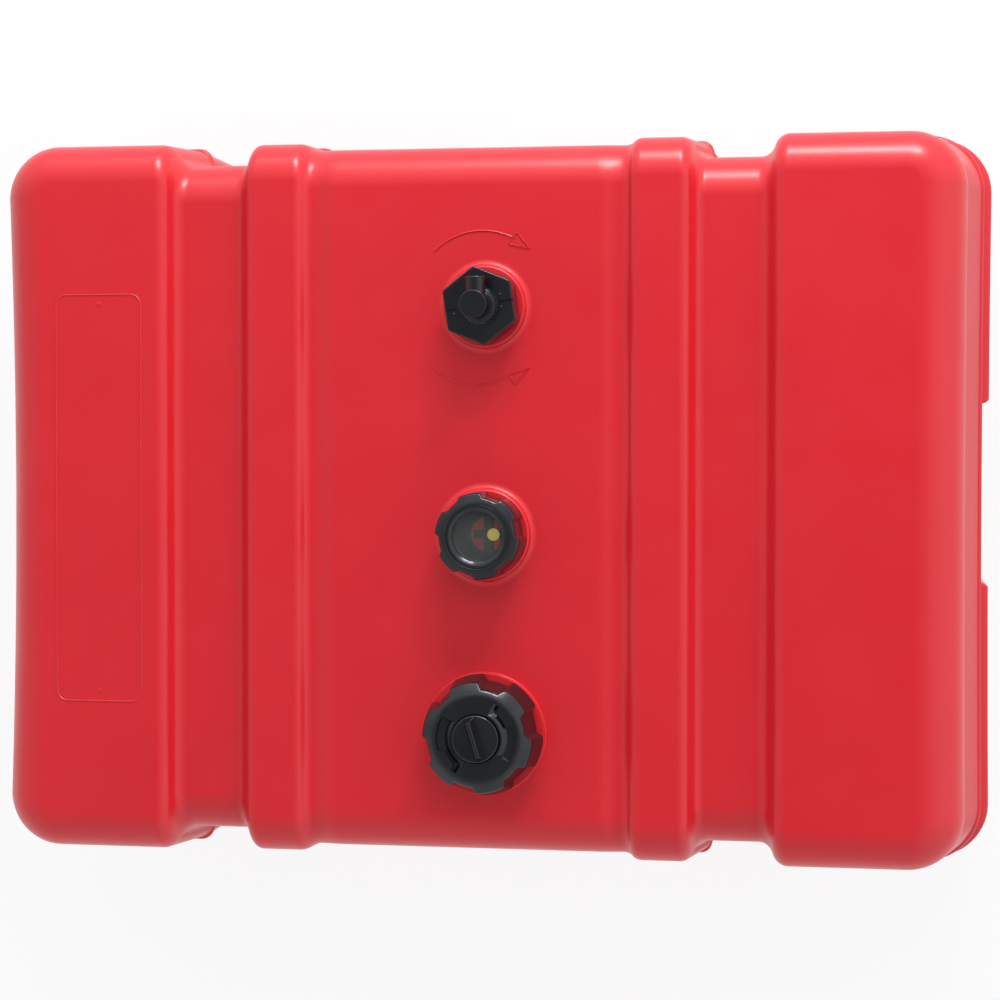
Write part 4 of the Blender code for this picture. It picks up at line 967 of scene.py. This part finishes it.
def make_nut(finishes):
    centre = centre_of(OUTLET)
    hole = ELBOW_FLANGE_RADIUS + THREAD_CLEARANCE
    thread = OUTLET.crest + THREAD_CLEARANCE
    foot = BOSS_TOP + SKIRT_CLEARANCE
    rings = [hex_ring(NUT_FOOT_BEVEL, foot), hex_ring(0, foot + NUT_FOOT_BEVEL_RISE)]
    for turn in quarter_turn(NUT_ROUNDING_STEPS):
        inset = NUT_ROUNDING * (1 - math.cos(turn))
        rings.append(hex_ring(inset, NUT_TOP - NUT_ROUNDING * (1 - math.sin(turn))))
    first = math.radians(NUT_CORNER_TURN - 30)
    turns = [first + 2 * math.pi * k / NUT_STEPS for k in range(NUT_STEPS)]
    inside = rounded([(hole, NUT_TOP, 0.0004), (hole, NUT_PLATE), (thread, NUT_PLATE), (thread, foot)])
    rings += [[polar(centre, radius, turn, z) for turn in turns] for radius, z in inside]
    bm = bmesh.new()
    loft(bm, rings, closed=True)
    nut = new_object("nut_shape", bm)
    slot = bmesh.new()
    loft(slot, [
        turned_rectangle(centre, NUT_SLOT_HALF_LENGTH, NUT_SLOT_HALF_WIDTH, NUT_SLOT_TURN, z)
        for z in (NUT_TOP - NUT_SLOT_DEPTH, NUT_TOP + OVERRUN)
    ])
    bm = cut_out(nut, [new_object("slot_cutter", slot)])
    for x, y in NUT_DOTS:
        raised_dot(bm, (centre[0] + x, centre[1] + y), NUT_TOP, NUT_DOT_PROFILE, 16)
    piece("outlet_nut_looks", bm, finishes, "nut", "cap_black", ["outlet_nut"], 30)


def make_elbow(finishes):
    low, high, land = ELBOW_BODY_RADII
    bm = bmesh.new()
    lathe(bm, rounded([
        (ELBOW_SPIGOT, ELBOW_FOOT - ELBOW_SPIGOT_LENGTH, 0.0004),
        (ELBOW_SPIGOT, SEAL_MIDDLE - SEAL_GROOVE_HALF),
        (SEAL_GROOVE, SEAL_MIDDLE - SEAL_GROOVE_HALF),
        (SEAL_GROOVE, SEAL_MIDDLE + SEAL_GROOVE_HALF),
        (ELBOW_SPIGOT, SEAL_MIDDLE + SEAL_GROOVE_HALF),
        (ELBOW_SPIGOT, ELBOW_FOOT),
        (ELBOW_FLANGE_RADIUS, ELBOW_FOOT, 0.0003),
        (ELBOW_FLANGE_RADIUS, ELBOW_FLANGE_TOP, 0.0009),
        (low, ELBOW_BODY_FOOT, 0.0006),
        (high, ELBOW_TOP, 0.0018),
        (land, ELBOW_TOP),
    ], 5), centre_of(OUTLET))
    rings = [circle_along_y(STUB_RADIUS, OUTLET.y, STUB_HEIGHT)]
    for turn in quarter_turn(STUB_ROUNDING_STEPS):
        radius = STUB_RADIUS - STUB_ROUNDING * (1 - math.cos(turn))
        rings.append(circle_along_y(radius, STUB_END - STUB_ROUNDING * (1 - math.sin(turn)), STUB_HEIGHT))
    rings.append(circle_along_y(SOCKET_RADIUS, STUB_END, STUB_HEIGHT))
    rings.append(circle_along_y(SOCKET_RADIUS, STUB_END - SOCKET_DEPTH, STUB_HEIGHT))
    stub = bmesh.new()
    loft(stub, rings)
    take_in(bm, stub)
    piece("outlet_elbow_looks", bm, finishes, "elbow", "cap_black", ["outlet_elbow"], 40)


# Finishes: a main and a darker colour, how rough they are, and their fine grain's scale and depth
Finish = namedtuple("Finish", "colour darker rough grain depth")
FINISHES = {
    "cap_black": Finish((0.0070, 0.0074, 0.0090), (0.0060, 0.0064, 0.0079), 0.20, 900, 0.00004),
    "lens_clear": Finish((0.175, 0.200, 0.200), (0.160, 0.185, 0.185), 0.10, 500, 0.00002),
    "gauge_grey": Finish((0.050, 0.060, 0.060), (0.040, 0.050, 0.050), 0.5, 700, 0.00008),
    "seal_rubber": Finish((0.018, 0.018, 0.018), (0.012, 0.012, 0.012), 0.7, 900, 0.00012),
    "bead_yellow": Finish((0.78, 0.62, 0.06), (0.70, 0.54, 0.05), 0.4, 800, 0.00005),
    "pipe_white": Finish((0.74, 0.72, 0.66), (0.68, 0.66, 0.60), 0.42, 600, 0.00008),
    "float_foam": Finish((0.060, 0.058, 0.055), (0.035, 0.034, 0.032), 0.85, 420, 0.0005),
    "steel": Finish((0.56, 0.56, 0.55), (0.48, 0.48, 0.47), 0.3, 1200, 0.00003),
}
NOISE_REACH = (0.3, 0.7)  # where nearly all of a noise's values lie
DRIFT_SCALE = 40.0  # of the slow drift from the main colour to the darker one
GRAIN_STRENGTH = 0.35

# The body's red; its frosted end walls, whose paler colour is a painted sheen; and a painted glow for the
# light that the wall lets in to the floor inside
RED = (0.640, 0.0105, 0.0205)
RED_DARKER = (0.620, 0.0090, 0.0190)
RED_ROUGH = (0.30, 0.37)
# The frosted end walls' paler colour is a painted sheen, standing in for the light their rough face scatters;
# their roughness and grain are real
FROSTED_SHEEN_RED = (0.640, 0.060, 0.070)
FROSTED_ROUGH = 0.68
FROSTED_FACING = (0.87, 0.97)  # how squarely a face looks along x
FROSTED_TOP = (BODY_HEIGHT - 0.030, BODY_HEIGHT - 0.027)
# Painted glow: emission on the inner floor, standing in for the light let in through the red wall
PAINTED_INNER_GLOW = (0.090, 0.004, 0.006)
INNER_FACING = (0.5, 0.7)  # how squarely a face looks up
INNER_TOP = (0.028, 0.030)


class Nodes:
    """Adds nodes to a node tree. A value is a socket, a number or a colour."""

    def __init__(self, tree):
        self.tree = tree

    def add(self, kind, **settings):
        node = self.tree.nodes.new(kind)
        for key, value in settings.items():
            setattr(node, key, value)
        return node

    def give(self, socket, value):
        """Links a socket to the value, or sets it."""
        if isinstance(value, bpy.types.NodeSocket):
            self.tree.links.new(value, socket)
        elif isinstance(value, tuple):
            socket.default_value = (*value, 1.0)
        else:
            socket.default_value = value

    def calculate(self, operation, *values):
        node = self.add("ShaderNodeMath", operation=operation)
        for socket, value in zip(node.inputs, values):
            self.give(socket, value)
        return node.outputs[0]

    def span(self, value, low, high, start=0.0, end=1.0):
        """The value's way from start to end, turned into one from low to high."""
        node = self.add("ShaderNodeMapRange")
        self.give(node.inputs["Value"], value)
        for key, number in (("From Min", start), ("From Max", end), ("To Min", low), ("To Max", high)):
            node.inputs[key].default_value = number
        return node.outputs["Result"]

    def blend(self, share, a, b):
        """From colour a to colour b."""
        node = self.add("ShaderNodeMix", data_type="RGBA")
        for index, value in ((0, share), (6, a), (7, b)):
            self.give(node.inputs[index], value)
        return node.outputs[2]

    def between(self, share, a, b):
        """From number a to number b."""
        node = self.add("ShaderNodeMix", data_type="FLOAT")
        for index, value in ((0, share), (2, a), (3, b)):
            self.give(node.inputs[index], value)
        return node.outputs[0]


class Material(Nodes):
    def __init__(self, name):
        self.material = bpy.data.materials.new(name)
        self.material.use_nodes = True
        super().__init__(self.material.node_tree)
        self.shader = self.tree.nodes["Principled BSDF"]
        self.place = self.add("ShaderNodeTexCoord").outputs["Object"]

    def set(self, name, value):
        self.give(self.shader.inputs[name], value)

    def noise(self, scale, detail=3.0, rough=0.5):
        node = self.add("ShaderNodeTexNoise")
        self.give(node.inputs["Vector"], self.place)
        node.inputs["Scale"].default_value = scale
        node.inputs["Detail"].default_value = detail
        node.inputs["Roughness"].default_value = rough
        return node.outputs["Fac"]

    def bump(self, height, strength, distance, under=None):
        node = self.add("ShaderNodeBump")
        node.inputs["Strength"].default_value = strength
        node.inputs["Distance"].default_value = distance
        self.give(node.inputs["Height"], height)
        if under:
            self.give(node.inputs["Normal"], under)
        return node.outputs["Normal"]


def plain_finish(name):
    """A moulded or drawn finish: a fine grain, uneven gloss and a slight drift of colour."""
    look = FINISHES[name]
    m = Material(name)
    drift = m.span(m.noise(DRIFT_SCALE, 4.0), 0, 1, *NOISE_REACH)
    m.set("Base Color", m.blend(drift, look.colour, look.darker))
    m.set("Roughness", m.span(m.noise(DRIFT_SCALE * 3), look.rough * 0.85, look.rough * 1.15, *NOISE_REACH))
    m.set("Normal", m.bump(m.noise(look.grain, 4.0, 0.6), GRAIN_STRENGTH, look.depth))
    return m


def red_finish():
    """Rotationally moulded plastic: smooth on top, frosted on the end walls with a painted sheen, and a
    painted glow on the floor inside.
    """
    m = Material("tank_red")
    normal = m.add("ShaderNodeSeparateXYZ")
    m.give(normal.inputs[0], m.add("ShaderNodeTexCoord").outputs["Normal"])
    place = m.add("ShaderNodeSeparateXYZ")
    m.give(place.inputs[0], m.place)
    along_x, up = normal.outputs[0], normal.outputs[2]
    height = place.outputs[2]

    end_wall = m.span(m.calculate("ABSOLUTE", along_x), 0, 1, *FROSTED_FACING)
    frost_and_sheen = m.calculate("MULTIPLY", m.span(height, 1, 0, *FROSTED_TOP), end_wall)
    drift = m.span(m.noise(9, 3.0), 0, 1, 0.35, 0.65)
    # Paler end walls: a painted sheen over the real frost
    m.set("Base Color", m.blend(frost_and_sheen, m.blend(drift, RED, RED_DARKER), FROSTED_SHEEN_RED))
    gloss = m.span(m.noise(26, 4.0), *RED_ROUGH, *NOISE_REACH)
    m.set("Roughness", m.between(frost_and_sheen, gloss, FROSTED_ROUGH))

    wavy = m.bump(m.noise(14, 2.0), 0.25, 0.0010)
    pebble = m.bump(m.noise(1300, 2.0), 0.22, 0.00010, wavy)
    frost = m.calculate("MULTIPLY", m.noise(700, 3.0, 0.6), frost_and_sheen)
    m.set("Normal", m.bump(frost, 0.6, 0.0006, pebble))

    # Painted glow on the upward faces of the inner floor, standing in for light coming through the wall
    painted_floor_glow = m.calculate("MULTIPLY", m.span(up, 0, 1, *INNER_FACING), m.span(height, 1, 0, *INNER_TOP))
    m.set("Emission Color", PAINTED_INNER_GLOW)
    m.set("Emission Strength", painted_floor_glow)
    m.set("Specular IOR Level", 0.55)
    return m


def make_finishes():
    made = {name: plain_finish(name) for name in FINISHES}
    made["tank_red"] = red_finish()
    made["cap_black"].set("Specular Tint", (0.90, 0.95, 1.0))
    made["cap_black"].set("Specular IOR Level", 0.5)
    # Painted glow: the bead's emission stands in for the light that reaches it through the lens
    made["bead_yellow"].set("Emission Color", (0.90, 0.70, 0.12))
    made["bead_yellow"].set("Emission Strength", 0.42)
    made["steel"].set("Metallic", 1.0)
    # The lens has gone smoky, so it is seen through as a thin grey veil
    made["lens_clear"].set("Alpha", 0.16)
    made["lens_clear"].set("IOR", 1.49)
    return {name: m.material for name, m in made.items()}


# Floor, and how far it turns to plain white where the camera sees it, also in gloss and the lens
FLOOR_HALF = 6.0
FLOOR_HEIGHT = -0.0005
FLOOR_COLOUR = (0.86, 0.86, 0.86)
FLOOR_WHITE = 0.88

# Strength of the world's light: a base, and what each side of the horizon adds to it, as the
# axis, which way along it, and the most that is added
WORLD_BASE = 0.15
WORLD_LIGHT = ((0, 1, 0.74), (0, -1, 0.50), (1, 1, 1.00), (1, -1, 0.62))

# Lamps: name, place, width, height and power
LAMP_AIM = (0, 0, 0.10)
LAMPS = (
    ("key", (0.62, 1.80, 1.02), 0.42, 0.28, 17.5),
    ("key_left", (0.10, 1.90, 1.02), 0.42, 0.28, 10.5),
    ("back", (0.10, 1.30, 0.60), 1.6, 0.4, 2.8),
    ("over", (0.00, 1.20, 1.70), 1.6, 1.0, 1.8),
    ("right", (2.2, 0.2, 1.2), 2.4, 2.0, 4.0),
)

CAMERA_PLACE = (0.3318, 0.0446, 1.862)
CAMERA_FORWARD = (-0.18354, -0.02632, -0.98266)
CAMERA_UP = (-0.00576, 0.99966, -0.02570)
CAMERA_LENS = 96.3
CAMERA_SENSOR = 36


def make_world():
    world = bpy.data.worlds.new("Studio")
    bpy.context.scene.world = world
    world.use_nodes = True
    sky = Nodes(world.node_tree)
    background = sky.tree.nodes["Background"]
    towards = sky.add("ShaderNodeSeparateXYZ")
    sky.give(towards.inputs[0], sky.add("ShaderNodeTexCoord").outputs["Generated"])
    level, *others = [sky.span(towards.outputs[axis], 0.0, most, 0.0, way) for axis, way, most in WORLD_LIGHT]
    for more in (*others, WORLD_BASE):
        level = sky.calculate("ADD", level, more)
    seen = sky.add("ShaderNodeLightPath").outputs["Is Camera Ray"]
    sky.give(background.inputs["Strength"], sky.between(seen, level, 1.0))
    sky.give(background.inputs["Color"], (1.0, 1.0, 1.0))


def make_floor():
    mesh = bpy.data.meshes.new("floor")
    corners = [(x * FLOOR_HALF, y * FLOOR_HALF, 0) for x, y in ((-1, -1), (1, -1), (1, 1), (-1, 1))]
    mesh.from_pydata(corners, [], [(0, 1, 2, 3)])
    floor = bpy.data.objects.new("floor", mesh)
    floor.location.z = FLOOR_HEIGHT
    bpy.context.scene.collection.objects.link(floor)
    m = Material("floor")
    m.set("Base Color", FLOOR_COLOUR)
    m.set("Roughness", 1.0)
    m.set("Specular IOR Level", 0.0)
    white = m.add("ShaderNodeEmission")
    white.inputs["Strength"].default_value = 1.0
    path = m.add("ShaderNodeLightPath").outputs
    mirrored = m.calculate("ADD", path["Is Glossy Ray"], path["Is Transmission Ray"])
    seen = m.calculate("ADD", path["Is Camera Ray"], mirrored)
    both = m.add("ShaderNodeMixShader")
    m.give(both.inputs[0], m.span(seen, 0.0, FLOOR_WHITE))
    m.give(both.inputs[1], m.shader.outputs[0])
    m.give(both.inputs[2], white.outputs[0])
    m.give(m.tree.nodes["Material Output"].inputs["Surface"], both.outputs[0])
    mesh.materials.append(m.material)


def make_lamps():
    for name, place, width, height, power in LAMPS:
        light = bpy.data.lights.new(name, "AREA")
        light.shape = "RECTANGLE"
        light.size = width
        light.size_y = height
        light.energy = power
        obj = bpy.data.objects.new(name, light)
        obj.location = place
        obj.rotation_euler = (Vector(LAMP_AIM) - Vector(place)).to_track_quat("-Z", "Y").to_euler()
        bpy.context.scene.collection.objects.link(obj)


def make_camera():
    data = bpy.data.cameras.new("camera")
    data.lens = CAMERA_LENS
    data.sensor_width = CAMERA_SENSOR
    data.clip_start = 0.05
    data.clip_end = 50
    camera = bpy.data.objects.new("camera", data)
    forward = Vector(CAMERA_FORWARD).normalized()
    right = forward.cross(Vector(CAMERA_UP)).normalized()
    up = right.cross(forward).normalized()
    matrix = Matrix((right, up, -forward)).transposed().to_4x4()
    matrix.translation = Vector(CAMERA_PLACE)
    camera.matrix_world = matrix
    bpy.context.scene.collection.objects.link(camera)
    bpy.context.scene.camera = camera


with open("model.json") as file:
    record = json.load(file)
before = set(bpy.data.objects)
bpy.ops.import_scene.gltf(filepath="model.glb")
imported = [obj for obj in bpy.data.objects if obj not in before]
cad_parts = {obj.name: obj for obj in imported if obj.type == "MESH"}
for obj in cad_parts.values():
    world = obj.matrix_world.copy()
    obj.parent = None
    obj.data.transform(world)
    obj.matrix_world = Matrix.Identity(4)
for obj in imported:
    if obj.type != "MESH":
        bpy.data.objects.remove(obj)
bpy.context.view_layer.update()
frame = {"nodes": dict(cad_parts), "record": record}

finishes = make_finishes()
for part in frame["record"]["subparts"]:
    node = frame["nodes"][part["node"]]
    node.data.materials.clear()
    node.data.materials.append(finishes[part["material_slot"]])

make_tank(finishes)
make_marks(finishes)
make_filler_cap(finishes)
make_vent_knob(finishes)
make_gauge_ring(finishes)
make_lens(finishes)
make_cup(finishes)
make_bead(finishes)
make_nut(finishes)
make_elbow(finishes)

make_world()
make_floor()
make_lamps()
make_camera()
bpy.context.scene.view_settings.view_transform = "Standard"
